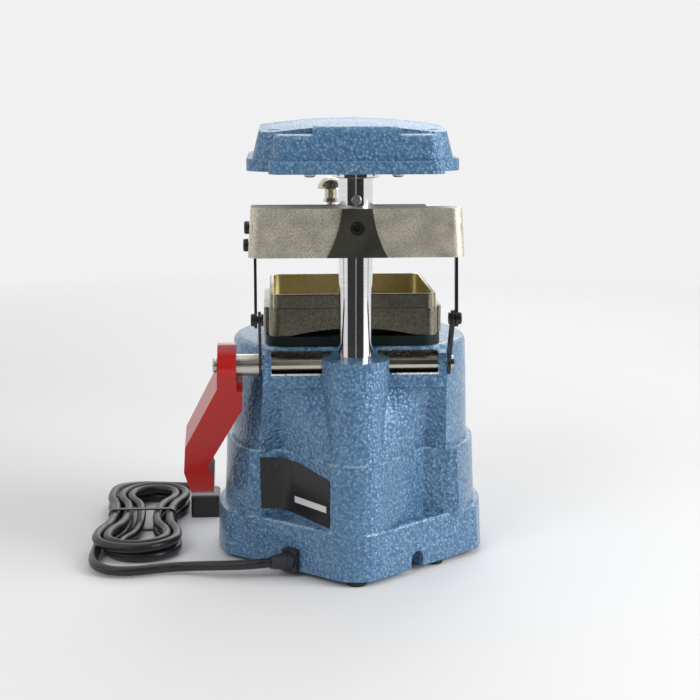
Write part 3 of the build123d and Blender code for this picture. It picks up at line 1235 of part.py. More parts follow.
def side_run(x_end, x_waist, sign, z, climb_to=None):
    """One side of the hank, out, in to the waist and out again."""
    ends = (NEAR_END_Y, FAR_END_Y) if sign > 0 else (FAR_END_Y, NEAR_END_Y)
    toward = -1 if sign > 0 else 1
    half = HANK_WAIST_RUN / 2 * toward
    direction = (0, toward, 0)
    x0, x1 = HANK_X + sign * x_end[0], HANK_X + sign * x_waist
    x2 = HANK_X + sign * x_end[1]
    waist = (HANK_WAIST_Y - half, HANK_WAIST_Y + half)
    lead_in = waist[0] - HANK_LEAN * toward
    lead_out = waist[1] + HANK_LEAN * toward
    edges = []
    if abs(lead_in - ends[0]) > 0.01:
        edges.append(Line((x0, ends[0], z), (x0, lead_in, z)))
    edges += s_curve((x0, lead_in, z), (x1, waist[0], z), direction)
    top = z if climb_to is None else climb_to
    if climb_to is None:
        edges.append(Line((x1, waist[0], z), (x1, waist[1], z)))
    else:
        edges += s_curve((x1, waist[0], z), (x1, waist[1], top), direction)
    edges += s_curve((x1, waist[1], top), (x2, lead_out, top), direction)
    if abs(lead_out - ends[1]) > 0.01:
        edges.append(Line((x2, lead_out, top), (x2, ends[1], top)))
    return edges


def hank_path():
    """Spiral of long loops inwards, a climb at the waist, and out again."""
    count = 2 * HANK_TURNS
    full = [HANK_HALF_W - CORD_R - i * END_STEP / 2 for i in range(count + 1)]
    waist = [HANK_WAIST_HALF - CORD_R - i * HANK_WAIST_STEP / 2 for i in range(count + 1)]
    order = list(range(count + 1)) + list(range(count - 1, -1, -1))
    edges = []
    for step, index in enumerate(order):
        z = LAYER_Z[0] if step <= count else LAYER_Z[1]
        sign = 1 if step % 2 == 0 else -1
        climb = LAYER_Z[1] if step == count else None
        edges += side_run((full[index], full[index]), waist[index], sign, z, climb)
        if step + 1 < len(order):
            after = full[order[step + 1]]
            z_end = LAYER_Z[1] if step >= count else LAYER_Z[0]
            y = FAR_END_Y if sign > 0 else NEAR_END_Y
            start, end = HANK_X + sign * full[index], HANK_X - sign * after
            tip_y = y - sign * (full[index] + after) / 2
            edges.append(ThreePointArc((start, y, z_end), ((start + end) / 2, tip_y, z_end), (end, y, z_end)))
    return Wire([edge.edge() for edge in edges])


def least_gap(path, step=2.0):
    """Smallest air between stretches of the cable that are not neighbours."""
    count = int(path.length / step)
    points = [tuple(path.position_at(i / count)) for i in range(count + 1)]
    apart = int(4 * CORD_R / step) + 1
    nearest = 1e9
    for i, (x, y, z) in enumerate(points):
        for u, v, w in points[i + apart:]:
            if abs(x - u) < 12 and abs(y - v) < 12:
                nearest = min(nearest, (x - u) ** 2 + (y - v) ** 2 + (z - w) ** 2)
    return sqrt(nearest) - 2 * CORD_R


save("strain_relief", strain_relief())
lead_tube, lead_path = tube_along(LEAD_POINTS, "lead")
print("lead starts at", [round(v, 2) for v in lead_start], "then", [round(v, 2) for v in lead_turn])
save("cord_lead", lead_tube)
hank = hank_path()
hank_start = Plane(origin=hank.position_at(0), z_dir=(0, -1, 0))
hank_tube = sweep(hank_start * Circle(CORD_R), path=hank)
print("hank length", round(hank.length), "volume ratio",
      round(hank_tube.volume / (3.14159265 * CORD_R ** 2 * hank.length), 4), "least gap", round(least_gap(hank), 2))
save("cord_hank", hank_tube)
tail_tube, tail_path = tube_along(TAIL_POINTS, "tail")
save("cord_tail", tail_tube)
print("cord length", round(lead_path.length + hank.length + tail_path.length))


def waist_half(index):
    return HANK_WAIST_HALF - index * HANK_WAIST_STEP / 2 + TIE_AIR


def cord_tie():
    """Band round the waist of the hank."""
    x = (HANK_X - waist_half(1), HANK_X + waist_half(0))
    z = (TIE_T, LAYER_Z[1] + CORD_R + TIE_AIR)
    middle = Plane(origin=((x[0] + x[1]) / 2, HANK_WAIST_Y + TIE_W / 2, (z[0] + z[1]) / 2), x_dir=(1, 0, 0),
                   z_dir=(0, -1, 0))
    width, height = x[1] - x[0], z[1] - z[0]
    band = RectangleRounded(width + 2 * TIE_T, height + 2 * TIE_T, CORD_R + TIE_T)
    return extrude(middle * (band - RectangleRounded(width, height, CORD_R)), TIE_W)


def plug_body():
    """Flat moulded angle plug: the cord enters square to its pins."""
    narrow = CORD_R + 2.2
    outline = Polygon(
        (PLUG_X[0], PLUG_NEAR_Y), (PLUG_X[0], PLUG_FAR_Y + 5), (PLUG_CORD_X - narrow, PLUG_FAR_Y),
        (PLUG_CORD_X + narrow, PLUG_FAR_Y), (PLUG_X[1] - 1, PLUG_NEAR_Y - 12), (PLUG_X[1], PLUG_NEAR_Y),
        align=None)
    low = PLUG_Z - PLUG_T / 2
    body = Pos(0, 0, low) * extrude(fillet(outline.vertices(), 2.0), PLUG_T)
    body = chamfer(top_face(body).edges(), 1.2)
    root = Plane(origin=(PLUG_CORD_X, PLUG_FAR_Y + 1, PLUG_Z), z_dir=(0, -1, 0))
    tip = Plane(origin=(PLUG_CORD_X, PLUG_FAR_Y - BOOT_LENGTH, PLUG_Z), z_dir=(0, -1, 0))
    body = body + loft([root * Circle(narrow - 0.4), tip * Circle(CORD_R + 0.8)])
    for y in pin_places():
        body = body - along_x(PIN_R + SEAT, PLUG_X[0] - 1, PLUG_X[0] + 6, y, PLUG_Z)
    return body


def pin_places():
    middle = (PLUG_NEAR_Y + PLUG_FAR_Y + 5) / 2
    return [middle - PIN_PITCH / 2, middle + PIN_PITCH / 2]


def plug_pin(y):
    pin = along_x(PIN_R, PLUG_X[0] - PIN_LENGTH, PLUG_X[0] + 6 - SEAT, y, PLUG_Z)
    return fillet(pin.faces().sort_by(Axis.X)[0].edges(), 1.2)


save("cord_tie", cord_tie())
save("plug_body", plug_body())
save("plug_pins", [plug_pin(y) for y in pin_places()])
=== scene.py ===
"""Dental vacuum former: finishes, mains lead, bare label, light and camera.

Metres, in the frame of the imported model.  +Y is the column side that the
photograph shows, +X the side of the red lever, +Z up.
"""
import math

import bpy
from mathutils import Matrix, Vector


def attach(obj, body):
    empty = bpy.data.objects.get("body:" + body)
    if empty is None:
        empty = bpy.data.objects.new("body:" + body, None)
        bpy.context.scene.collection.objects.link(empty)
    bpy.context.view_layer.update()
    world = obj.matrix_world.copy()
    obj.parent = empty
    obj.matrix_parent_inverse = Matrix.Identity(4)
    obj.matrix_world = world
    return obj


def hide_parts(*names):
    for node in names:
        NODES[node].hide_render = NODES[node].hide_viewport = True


MM = 0.001
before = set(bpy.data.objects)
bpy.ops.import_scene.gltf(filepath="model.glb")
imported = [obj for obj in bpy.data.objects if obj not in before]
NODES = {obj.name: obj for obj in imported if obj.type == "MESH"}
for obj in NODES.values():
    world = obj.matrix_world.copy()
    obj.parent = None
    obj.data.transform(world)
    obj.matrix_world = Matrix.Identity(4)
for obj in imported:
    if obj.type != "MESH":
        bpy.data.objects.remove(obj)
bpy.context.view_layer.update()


# ------------------------------------------------------------------ camera
CAMERA_PLACE = (0.0534, 1.0116, 0.3267)
CAMERA_PITCH = 10.25
CAMERA_YAW = 3.05
CAMERA_ROLL = 0.06
CAMERA_LENS = 73.525


def add_camera():
    pitch, yaw, roll = (math.radians(a) for a in (CAMERA_PITCH, CAMERA_YAW, CAMERA_ROLL))
    level = Vector((-math.sin(yaw), -math.cos(yaw), 0.0))
    side = Vector((-math.cos(yaw), math.sin(yaw), 0.0))
    ahead = level * math.cos(pitch) - Vector((0.0, 0.0, math.sin(pitch)))
    up = level * math.sin(pitch) + Vector((0.0, 0.0, math.cos(pitch)))
    right = side * math.cos(roll) - up * math.sin(roll)
    top = side * math.sin(roll) + up * math.cos(roll)
    data = bpy.data.cameras.new("camera")
    data.lens = CAMERA_LENS
    data.sensor_width = 36.0
    data.clip_start = 0.05
    data.clip_end = 40.0
    camera = bpy.data.objects.new("camera", data)
    bpy.context.scene.collection.objects.link(camera)
    turn = Matrix((right, top, -ahead)).transposed().to_4x4()
    camera.matrix_world = Matrix.Translation(CAMERA_PLACE) @ turn
    bpy.context.scene.camera = camera


add_camera()


# ---------------------------------------------------------------- mains lead
# Route points of the lead, the hank and the tail, in millimetres.
CORD_R = 3.4
LEAD = [
    (58.14, 78.93, 11.5), (67.8, 81.52, 11.5), (78.5, 80.3, 10.5), (90.5, 76.0, 9.0),
    (104.0, 70.0, 7.0), (119.0, 66.0, 5.5), (134.0, 67.0, 4.9), (148.0, 71.0, 4.7),
    (161.5, 72.0, 4.7), (172.5, 66.5, 4.7), (180.0, 56.0, 4.7), (182.4, 43.0, 4.7),
    (182.6, 29.5, 4.7),
]
TAIL = [
    (182.6, -102.0, 12.3), (180.0, -115.0, 11.5), (172.0, -127.0, 9.5), (160.0, -136.0, 7.5),
    (145.0, -140.5, 5.5), (130.0, -139.5, 5.0), (120.0, -135.0, 5.8), (113.2, -128.0, 7.0),
    (110.0, -119.5, 8.8), (110.0, -111.0, 8.8),
]
HANK_X = 152.0
HANK_NEAR = 16.0
HANK_FAR = -90.0
HANK_FULL = (30.6, 26.8, 23.0, 19.2, 15.4)
HANK_WAIST = (23.1, 18.3, 13.5, 8.7, 3.9)
HANK_ORDER = (0, 1, 2, 3, 4, 3, 2, 1, 0)
HANK_BEND_Y = (5.0, -15.0, -59.0, -79.0)
LAYER_Z = (4.7, 12.3)
CORNER = math.tan(math.radians(22.5))


def hank_side(turn):
    """Corners of one long side of the hank: out, in to the tied waist, out."""
    step = HANK_ORDER[turn]
    sign = 1 if turn % 2 == 0 else -1
    wide = HANK_X + sign * HANK_FULL[step]
    tied = HANK_X + sign * HANK_WAIST[step]
    climbs = turn == len(HANK_ORDER) // 2
    start = LAYER_Z[0] if turn <= len(HANK_ORDER) // 2 else LAYER_Z[1]
    end = LAYER_Z[1] if climbs else start
    y = HANK_BEND_Y
    side = [(wide, y[0], start), (tied, y[1], start), (tied, y[2], end), (wide, y[3], end)]
    return side if sign > 0 else side[::-1]


def hank_end(turn):
    """Corners of the round end that follows a long side."""
    sign = 1 if turn % 2 == 0 else -1
    half = [HANK_FULL[HANK_ORDER[turn]], HANK_FULL[HANK_ORDER[turn + 1]]]
    r = sum(half) / 2
    x = HANK_X + sign * (half[0] - half[1]) / 2
    y, out = (HANK_FAR, -1) if sign > 0 else (HANK_NEAR, 1)
    z = LAYER_Z[0] if turn < len(HANK_ORDER) // 2 else LAYER_Z[1]
    corners = [(1, CORNER), (CORNER, 1), (-CORNER, 1), (-1, CORNER)]
    return [(x + sign * r * a, y + out * r * b, z) for a, b in corners]


def cord_route():
    points = list(LEAD)
    for turn in range(len(HANK_ORDER)):
        points += hank_side(turn)
        if turn + 1 < len(HANK_ORDER):
            points += hank_end(turn)
    return points + TAIL


def add_cord():
    data = bpy.data.curves.new("mains_lead", "CURVE")
    data.dimensions = "3D"
    data.resolution_u = 10
    data.bevel_depth = 1.0
    data.bevel_resolution = 5
    data.use_fill_caps = True
    spline = data.splines.new("NURBS")
    points = cord_route()
    spline.points.add(len(points) - 1)
    for place, point in zip(spline.points, points):
        place.co = [c * MM for c in point] + [1.0]
        place.radius = CORD_R * MM
    spline.order_u = 3
    spline.use_endpoint_u = True
    cord = bpy.data.objects.new("mains_lead", data)
    bpy.context.scene.collection.objects.link(cord)
    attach(cord, "base")
    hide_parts("cord_lead", "cord_hank", "cord_tail")
    return cord


cord = add_cord()


# ---------------------------------------------------------------- materials
class Finish:
    """A procedural material: helpers around its node tree."""

    def __init__(self, name, **sockets):
        self.material = bpy.data.materials.new(name)
        self.material.use_nodes = True
        self.tree = self.material.node_tree
        self.shader = self.tree.nodes["Principled BSDF"]
        self.place = self.add("ShaderNodeTexCoord").outputs["Object"]
        for key, value in sockets.items():
            self.shader.inputs[key.replace("_", " ")].default_value = value

    def add(self, kind, **settings):
        node = self.tree.nodes.new(kind)
        for key, value in settings.items():
            setattr(node, key, value)
        return node

    def feed(self, socket, value):
        if isinstance(value, bpy.types.NodeSocket):
            self.tree.links.new(value, socket)
        elif isinstance(value, tuple) and len(value) == 3 and socket.type == "RGBA":
            socket.default_value = value + (1.0,)
        else:
            socket.default_value = value

    def noise(self, scale, detail=2.0, roughness=0.5, where=None):
        node = self.add("ShaderNodeTexNoise")
        self.feed(node.inputs["Vector"], where or self.place)
        self.feed(node.inputs["Scale"], scale)
        self.feed(node.inputs["Detail"], detail)
        self.feed(node.inputs["Roughness"], roughness)
        return node.outputs[0]

    def cells(self, scale, feature="F1", where=None):
        node = self.add("ShaderNodeTexVoronoi", feature=feature)
        self.feed(node.inputs["Vector"], where or self.place)
        self.feed(node.inputs["Scale"], scale)
        return node.outputs[0]

    def maths(self, operation, a, b=0.0):
        node = self.add("ShaderNodeMath", operation=operation)
        self.feed(node.inputs[0], a)
        self.feed(node.inputs[1], b)
        return node.outputs[0]

    def vector(self, operation, a, b):
        node = self.add("ShaderNodeVectorMath", operation=operation)
        self.feed(node.inputs[0], a)
        self.feed(node.inputs[1], b)
        return node.outputs["Value"] if operation == "DISTANCE" else node.outputs[0]

    def warped(self, scale, amount):
        """Coordinates pushed about by a noise, so that cells aren't regular."""
        node = self.add("ShaderNodeTexNoise")
        self.feed(node.inputs["Vector"], self.place)
        self.feed(node.inputs["Scale"], scale)
        shift = self.vector("SUBTRACT", node.outputs["Color"], (0.5, 0.5, 0.5))
        shift = self.vector("MULTIPLY", shift, (amount, amount, amount))
        return self.vector("ADD", self.place, shift)

    def span(self, value, low, high, to_low=0.0, to_high=1.0):
        node = self.add("ShaderNodeMapRange")
        self.feed(node.inputs["Value"], value)
        self.feed(node.inputs["From Min"], low)
        self.feed(node.inputs["From Max"], high)
        self.feed(node.inputs["To Min"], to_low)
        self.feed(node.inputs["To Max"], to_high)
        return node.outputs[0]

    def ramp(self, value, stops):
        node = self.add("ShaderNodeValToRGB")
        self.feed(node.inputs[0], value)
        elements = node.color_ramp.elements
        while len(elements) < len(stops):
            elements.new(0.5)
        for element, (position, colour) in zip(elements, stops):
            element.position = position
            element.color = colour + (1.0,)
        return node.outputs[0]

    def mix(self, share, a, b):
        node = self.add("ShaderNodeMix", data_type="RGBA")
        self.feed(node.inputs[0], share)
        self.feed(node.inputs[6], a)
        self.feed(node.inputs[7], b)
        return node.outputs[2]

    def axes(self):
        node = self.add("ShaderNodeSeparateXYZ")
        self.feed(node.inputs[0], self.place)
        return node.outputs

    def near(self, value, centre, reach):
        """1 where value lies within reach of centre."""
        node = self.add("ShaderNodeMath", operation="COMPARE")
        self.feed(node.inputs[0], value)
        self.feed(node.inputs[1], centre)
        self.feed(node.inputs[2], reach)
        return node.outputs[0]

    def all_of(self, *masks):
        result = masks[0]
        for mask in masks[1:]:
            result = self.maths("MULTIPLY", result, mask)
        return result

    def bump(self, height, strength, distance):
        node = self.add("ShaderNodeBump")
        self.feed(node.inputs["Height"], height)
        self.feed(node.inputs["Strength"], strength)
        self.feed(node.inputs["Distance"], distance)
        self.tree.links.new(node.outputs[0], self.shader.inputs["Normal"])

    def done(self, colour=None, roughness=None, metallic=None):
        for name, value in (("Base Color", colour), ("Roughness", roughness), ("Metallic", metallic)):
            if value is not None:
                self.feed(self.shader.inputs[name], value)
        return self.material


BLUE = {
    "pale": (0.290, 0.435, 0.550),
    "mid": (0.105, 0.232, 0.385),
    "dark": (0.046, 0.115, 0.235),
}
# The base's hammer paint in darker tones for the head: painted shade on the head's faces, not a
# different paint.
BLUE_HEAD_SHADED = {
    "pale": (0.260, 0.410, 0.530),
    "mid": (0.100, 0.218, 0.360),
    "dark": (0.046, 0.118, 0.235),
}
# Bare milled metal in the shaft's slot, its tones held near black as painted shade under the shaft and
# the deck.
MILLED_SHADE_TONES = [(0.3, (0.07, 0.07, 0.065)), (0.7, (0.16, 0.155, 0.14))]
BARE_EDGE = (0.70, 0.71, 0.70)
# Half height of the painted highlight band on each ledge.
LEDGE_HIGHLIGHT_REACH = 0.0009
PAINT_METALLIC = 0.25
MILLED_METALLIC = 0.9
# Heights of the ledges whose edges get a painted highlight.
LEDGE_HIGHLIGHT_Z = (0.0362, 0.0834, 0.1558)
SLOT_HALF_X = 0.0563
SLOT_FRONT_Y = 0.0617
SLOT_EDGE_Y = 0.0735
SLOT_FLOOR_Z = 0.1409
COLUMN_PLACE = (0.0, 0.079, 0.0)
BOSS_REACH = 0.0230
BOSS_FACE_Y = 0.0993
# Painted reflection: the smooth rear face of the frame's boss darkened, as it mirrors dark surroundings.
BOSS_FACE_DARK_REFLECTION = (0.030, 0.031, 0.024)
WELL_HALF = 0.0545


def hammer_tones(f, tones):
    """Colour and relief of hammer paint: glossy beads with darker valleys."""
    place = f.warped(330.0, 0.0015)
    beads = f.cells(500.0, "SMOOTH_F1", place)
    fleck = f.noise(760.0, 2.0, 0.6)
    blend = f.maths("ADD", beads, f.span(fleck, 0.3, 0.7, -0.12, 0.12))
    stops = [(0.06, tones["pale"]), (0.28, tones["mid"]), (0.66, tones["dark"])]
    colour = f.ramp(blend, stops)
    cloud = f.span(f.noise(14.0, 3.0), 0.35, 0.65, 0.0, 0.22)
    colour = f.mix(cloud, colour, tones["mid"])
    height = f.maths("SUBTRACT", 1.0, f.maths("ADD", beads, f.maths("MULTIPLY", fleck, 0.15)))
    return colour, height, fleck


def hammer_paint(name, tones, highlight_ledges=(), slot=False, gloss=0.35, rough=(0.24, 0.40)):
    """Hammer paint with painted highlights on the ledges, and bare milled metal, darkened as painted
    shade, in the shaft's slot.
    """
    f = Finish(name, Coat_Weight=gloss, Coat_Roughness=0.12)
    colour, height, fleck = hammer_tones(f, tones)
    x, y, z = f.axes()
    roughness = f.span(fleck, 0.3, 0.7, *rough)
    metallic = PAINT_METALLIC
    # Painted highlight: broken pale paint tone along each ledge, where light catches the step.
    for level in highlight_ledges:
        rim = f.all_of(f.near(z, level, LEDGE_HIGHLIGHT_REACH), f.maths("GREATER_THAN", f.noise(95.0, 3.0), 0.50))
        colour = f.mix(f.maths("MULTIPLY", rim, 0.55), colour, tones["pale"])
    if slot:
        flat = f.vector("MULTIPLY", f.place, (1.0, 1.0, 0.0))
        outside = f.maths("GREATER_THAN", f.vector("DISTANCE", flat, COLUMN_PLACE), BOSS_REACH)
        inside = f.maths("LESS_THAN", f.maths("ABSOLUTE", x), SLOT_HALF_X)
        behind = f.maths("LESS_THAN", y, SLOT_EDGE_Y - 0.0001)
        behind = f.all_of(f.maths("GREATER_THAN", y, SLOT_FRONT_Y), behind)
        # Slot floor and back wall: bare milled metal, darkened as painted shade from the shaft and the
        # deck rim.
        milled_in_shade = f.all_of(outside, inside, behind, f.maths("GREATER_THAN", z, SLOT_FLOOR_Z - 0.0004))
        colour = f.mix(milled_in_shade, colour, f.ramp(f.noise(500.0, 3.0), MILLED_SHADE_TONES))
        metallic = f.span(milled_in_shade, 0.0, 1.0, PAINT_METALLIC, MILLED_METALLIC)
        chip = f.all_of(outside, inside, f.near(y, SLOT_EDGE_Y, 0.0004), f.near(z, SLOT_FLOOR_Z, 0.0012))
        chip = f.all_of(chip, f.maths("GREATER_THAN", f.noise(140.0, 4.0, 0.7), 0.42))
        colour = f.mix(chip, colour, BARE_EDGE)
    f.bump(height, 0.85, 0.0011)
    return f.done(colour, roughness, metallic)


def cast_metal(name, low, high, rough=(0.28, 0.44), boss_reflection=False, well_light=None):
    """Plated casting: fine sand texture, small dark pits, soft gloss."""
    f = Finish(name, Metallic=1.0)
    sand = f.noise(900.0, 4.0, 0.62)
    pits = f.cells(950.0)
    tone = f.maths("SUBTRACT", sand, f.span(pits, 0.0, 0.16, 0.22, 0.0))
    colour = f.ramp(tone, [(0.34, low), (0.62, high)])
    stain = f.span(f.noise(22.0, 3.0), 0.40, 0.68, 0.0, 0.35)
    colour = f.mix(stain, colour, low)
    if boss_reflection:
        # Painted reflection: the rear face of the boss darkened where it mirrors dark surroundings.
        face = f.maths("GREATER_THAN", f.axes()[1], BOSS_FACE_Y)
        colour = f.mix(f.maths("MULTIPLY", face, 0.9), colour, BOSS_FACE_DARK_REFLECTION)
    if well_light:
        # Painted light: the inner walls of the tray's well get a brighter tone, as where light falls
        # into it.
        sides = [f.maths("ABSOLUTE", side) for side in f.axes()[:2]]
        inside = f.all_of(*[f.maths("LESS_THAN", side, WELL_HALF) for side in sides])
        lit = tuple(c * 1.25 for c in well_light)
        colour = f.mix(inside, colour, f.ramp(tone, [(0.34, well_light), (0.62, lit)]))
    f.bump(tone, 0.30, 0.00035)
    return f.done(colour, f.span(f.noise(60.0, 2.0), 0.3, 0.7, rough[0], rough[1]))


def turned_metal(name, colour, rough, stretch, shade=0.82):
    """Turned or ground metal with fine tool marks across the given axis."""
    f = Finish(name, Metallic=1.0)
    marks = f.noise(1.0, 3.0, 0.6, f.vector("MULTIPLY", f.place, stretch))
    darker = tuple(c * shade for c in colour)
    tone = f.ramp(marks, [(0.35, darker), (0.60, colour)])
    f.bump(marks, 0.08, 0.0001)
    return f.done(tone, f.span(marks, 0.3, 0.7, rough * 0.8, rough * 1.3))


def moulded(name, colour, rough, grain=900.0, relief=0.10, coat=0.0, shine=0.5):
    """Moulded plastic or rubber with a fine grain."""
    f = Finish(name, Coat_Weight=coat, Coat_Roughness=0.15, Specular_IOR_Level=shine)
    grains = f.noise(grain, 2.0, 0.55)
    wide = f.noise(35.0, 3.0)
    lighter = tuple(min(1.0, c * 1.35 + 0.004) for c in colour)
    tone = f.mix(f.span(wide, 0.35, 0.70, 0.0, 0.6), colour, lighter)
    f.bump(grains, relief, 0.0002)
    return f.done(tone, f.span(grains, 0.3, 0.7, rough * 0.85, rough * 1.15))


def red_enamel():
    """Glossy dip enamel with a slight orange peel and dull handling marks."""
    f = Finish("red_enamel", Coat_Weight=0.25, Coat_Roughness=0.07, Specular_IOR_Level=0.35)
    peel = f.noise(210.0, 2.0)
    worn = f.span(f.noise(60.0, 4.0, 0.65), 0.56, 0.72, 0.0, 0.45)
    colour = f.mix(worn, (0.400, 0.009, 0.007), (0.290, 0.007, 0.006))
    f.bump(peel, 0.12, 0.0004)
    return f.done(colour, f.span(worn, 0.0, 0.45, 0.24, 0.38))


def cord_skin(name):
    """Satin lead covering with faint dusty scuffs."""
    f = Finish(name)
    scuff = f.span(f.noise(120.0, 4.0, 0.7), 0.55, 0.75, 0.0, 0.5)
    colour = f.mix(scuff, (0.011, 0.011, 0.012), (0.036, 0.036, 0.038))
    f.bump(f.noise(1400.0, 2.0), 0.10, 0.0001)
    return f.done(colour, f.span(scuff, 0.0, 0.5, 0.34, 0.52))


HEAT_TINTS = [
    (0.30, (0.060, 0.055, 0.055)),
    (0.50, (0.120, 0.090, 0.065)),
    (0.70, (0.070, 0.075, 0.095)),
]


def element_metal():
    """Heater sheath: oxidised steel with straw and blue heat tints."""
    f = Finish("heater_sheath", Metallic=0.9)
    heat = f.noise(70.0, 3.0)
    f.bump(f.noise(700.0, 2.0), 0.2, 0.0002)
    return f.done(f.ramp(heat, HEAT_TINTS), f.span(heat, 0.3, 0.7, 0.42, 0.60))


NICKEL = ((0.420, 0.395, 0.325), (0.800, 0.755, 0.640))
NICKEL_TRAY = ((0.120, 0.114, 0.088), (0.290, 0.275, 0.215))
# Brighter tone painted inside the tray's well, standing in for the light on its inner walls.
WELL_LIT_TONE = (0.52, 0.44, 0.24)
SCREW_TURNS = (900.0, 900.0, 900.0)
RING_MARKS = (60.0, 60.0, 1400.0)
ALONG_X = (25.0, 1200.0, 1200.0)

MATERIALS = {
    "hammer": hammer_paint("hammer_blue", BLUE, LEDGE_HIGHLIGHT_Z, True),
    "hammer_head_shaded": hammer_paint("hammer_blue_head_shaded", BLUE_HEAD_SHADED, gloss=0.10, rough=(0.36, 0.52)),
    "nickel": cast_metal("cast_nickel", *NICKEL, (0.42, 0.60), boss_reflection=True),
    "tray": cast_metal("cast_nickel_tray", *NICKEL_TRAY, (0.26, 0.40), well_light=WELL_LIT_TONE),
    "chrome": turned_metal("chrome", (0.80, 0.80, 0.81), 0.07, RING_MARKS, 0.93),
    "shaft": turned_metal("ground_steel", (0.56, 0.53, 0.47), 0.18, ALONG_X),
    "zinc": turned_metal("zinc_plate", (0.56, 0.55, 0.51), 0.30, SCREW_TURNS),
    "aluminium": turned_metal("turned_aluminium", (0.64, 0.61, 0.55), 0.30, ALONG_X),
    "sheet": turned_metal("bright_aluminium", (0.74, 0.74, 0.73), 0.24, (30.0, 500.0, 500.0)),
    "dark_steel": turned_metal("black_steel", (0.060, 0.060, 0.063), 0.38, SCREW_TURNS),
    "knob": turned_metal("knob_nickel", (0.62, 0.57, 0.45), 0.20, RING_MARKS),
    "brass": turned_metal("brass", (0.66, 0.50, 0.24), 0.26, SCREW_TURNS),
    "gasket": moulded("green_rubber", (0.0015, 0.009, 0.008), 0.52, 700.0, 0.15, shine=0.25),
    "rubber": moulded("black_rubber", (0.012, 0.012, 0.012), 0.66, 800.0, 0.18),
    "plastic": moulded("black_plastic", (0.014, 0.014, 0.015), 0.36, 1100.0, 0.10, 0.1),
    "red_plastic": moulded("red_plastic", (0.360, 0.012, 0.010), 0.28, 1100.0, 0.06, 0.3),
    "dark_paint": moulded("dark_paint", (0.030, 0.032, 0.036), 0.50, 600.0, 0.15),
    "ceramic": moulded("ceramic", (0.640, 0.610, 0.540), 0.42, 500.0, 0.12),
    "red": red_enamel(),
    "cord": cord_skin("lead_skin"),
    "relief": moulded("relief_rubber", (0.014, 0.017, 0.024), 0.44, 900.0, 0.12),
    "heater": element_metal(),
}

NODE_FINISH = {
    "base_housing": "hammer", "bottom_plate": "dark_paint", "plate_screws": "zinc",
    "rubber_feet": "rubber", "deck_grille": "sheet", "deck_gasket": "gasket",
    "sample_tray": "tray", "perforated_plate": "zinc", "vacuum_motor": "sheet",
    "motor_seal": "rubber", "motor_ring": "zinc", "motor_bolts": "zinc",
    "column": "chrome", "column_nut": "zinc", "stop_screw": "zinc", "head_collar": "chrome",
    "switch_bezels": "plastic", "strain_relief": "relief", "cord_lead": "cord",
    "cord_hank": "cord", "cord_tail": "cord", "cord_tie": "plastic",
    "plug_body": "plastic", "plug_pins": "brass", "cross_shaft": "shaft",
    "shaft_spacer": "aluminium", "crank_arm_left": "dark_steel",
    "crank_arm_right": "dark_steel", "lever_handle": "red", "lever_screw": "zinc",
    "link_left": "dark_steel", "link_right": "dark_steel", "link_bolts": "dark_steel",
    "link_nuts": "dark_steel", "lower_frame": "nickel", "guide_bush": "aluminium",
    "set_screw": "dark_steel", "hinge_pins": "zinc", "link_pins": "zinc",
    "side_screws": "dark_steel", "clamp_frame": "nickel", "clamp_seal": "gasket",
    "clamp_knob": "knob", "clamp_screw": "zinc", "head_housing": "hammer_head_shaded",
    "wire_cover": "hammer_head_shaded", "head_screws": "zinc", "heat_reflector": "sheet",
    "heating_element": "heater", "element_holders": "ceramic",
    "heat_rocker": "red_plastic", "vacuum_rocker": "plastic",
}


def finish_node(node, material):
    if not node.material_slots:
        node.data.materials.append(material)
    for place in node.material_slots:
        place.material = material


for name, node in NODES.items():
    finish_node(node, MATERIALS[NODE_FINISH[name]])
cord.data.materials.append(MATERIALS["cord"])


# ------------------------------------------------------------- small pieces
def add_mesh(name, vertices, faces, materials, body, smooth=True):
    data = bpy.data.meshes.new(name)
    data.from_pydata([[c * MM for c in v] for v in vertices], [], faces)
    data.validate()
    for material in materials:
        data.materials.append(material)
    for face in data.polygons:
        face.use_smooth = smooth
    piece = bpy.data.objects.new(name, data)
    bpy.context.scene.collection.objects.link(piece)
    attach(piece, body)
    return piece


# Bare label: foil stuck across the left rear panel and the buttress beside it.
PANEL_FOOT_Z = 35.0
PANEL_H = 49.0
LABEL_TOP = ((0.0, 78.2), (0.52, 77.6), (1.0, 71.3))
LABEL_FOOT = ((0.0, 42.0), (1.0, 38.8))
LABEL_COLUMNS = 40
LABEL_ROWS = 12
LABEL_LIFT = 0.25
LABEL_T = 0.25
STRIP_SPAN = (0.42, 0.95)
STRIP_Z = (49.0, 53.4)
STRIP_ROWS = 2
PANEL_END = (17.48, 93.0)    # where the panel meets the pilaster, in plan
EDGE_BACK = 0.08             # share of the buttress left bare beside the label
PANEL_SHARE = 0.985
BEND_SHARES = (0.55, 0.22)   # where the foil leaves and meets the two walls


def between(table, share):
    for (a, low), (b, high) in zip(table, table[1:]):
        if share <= b:
            return low + (high - low) * (share - a) / (b - a)
    return table[-1][1]


def panel_point(share, z):
    """Point and outward direction on the panel, from the buttress inwards."""
    w = (z - PANEL_FOOT_Z) / PANEL_H
    bend = Vector((49.0 + 0.8 * w, 49.5 + 1.5 * w))
    outer = Vector((65.2 + 0.8 * w, 51.8 + 0.6 * w))
    start = outer + (bend - outer) * EDGE_BACK
    end = bend + (Vector(PANEL_END) - bend) * PANEL_SHARE
    first = bend + (start - bend) * BEND_SHARES[0]
    last = bend + (end - bend) * BEND_SHARES[1]
    lengths = [(first - start).length, (last - first).length, (end - last).length]
    along = share * sum(lengths)
    if along < lengths[0]:
        point = start + (first - start) * (along / lengths[0])
        ahead = first - start
    elif along < lengths[0] + lengths[1]:
        t = (along - lengths[0]) / lengths[1]
        point = first * (1 - t) ** 2 + bend * 2 * t * (1 - t) + last * t * t
        ahead = (bend - first) * (1 - t) + (last - bend) * t
    else:
        point = last + (end - last) * ((along - lengths[0] - lengths[1]) / lengths[2])
        ahead = end - last
    out = Vector((ahead.y, -ahead.x)).normalized()
    return point, out if out.y > 0 else -out


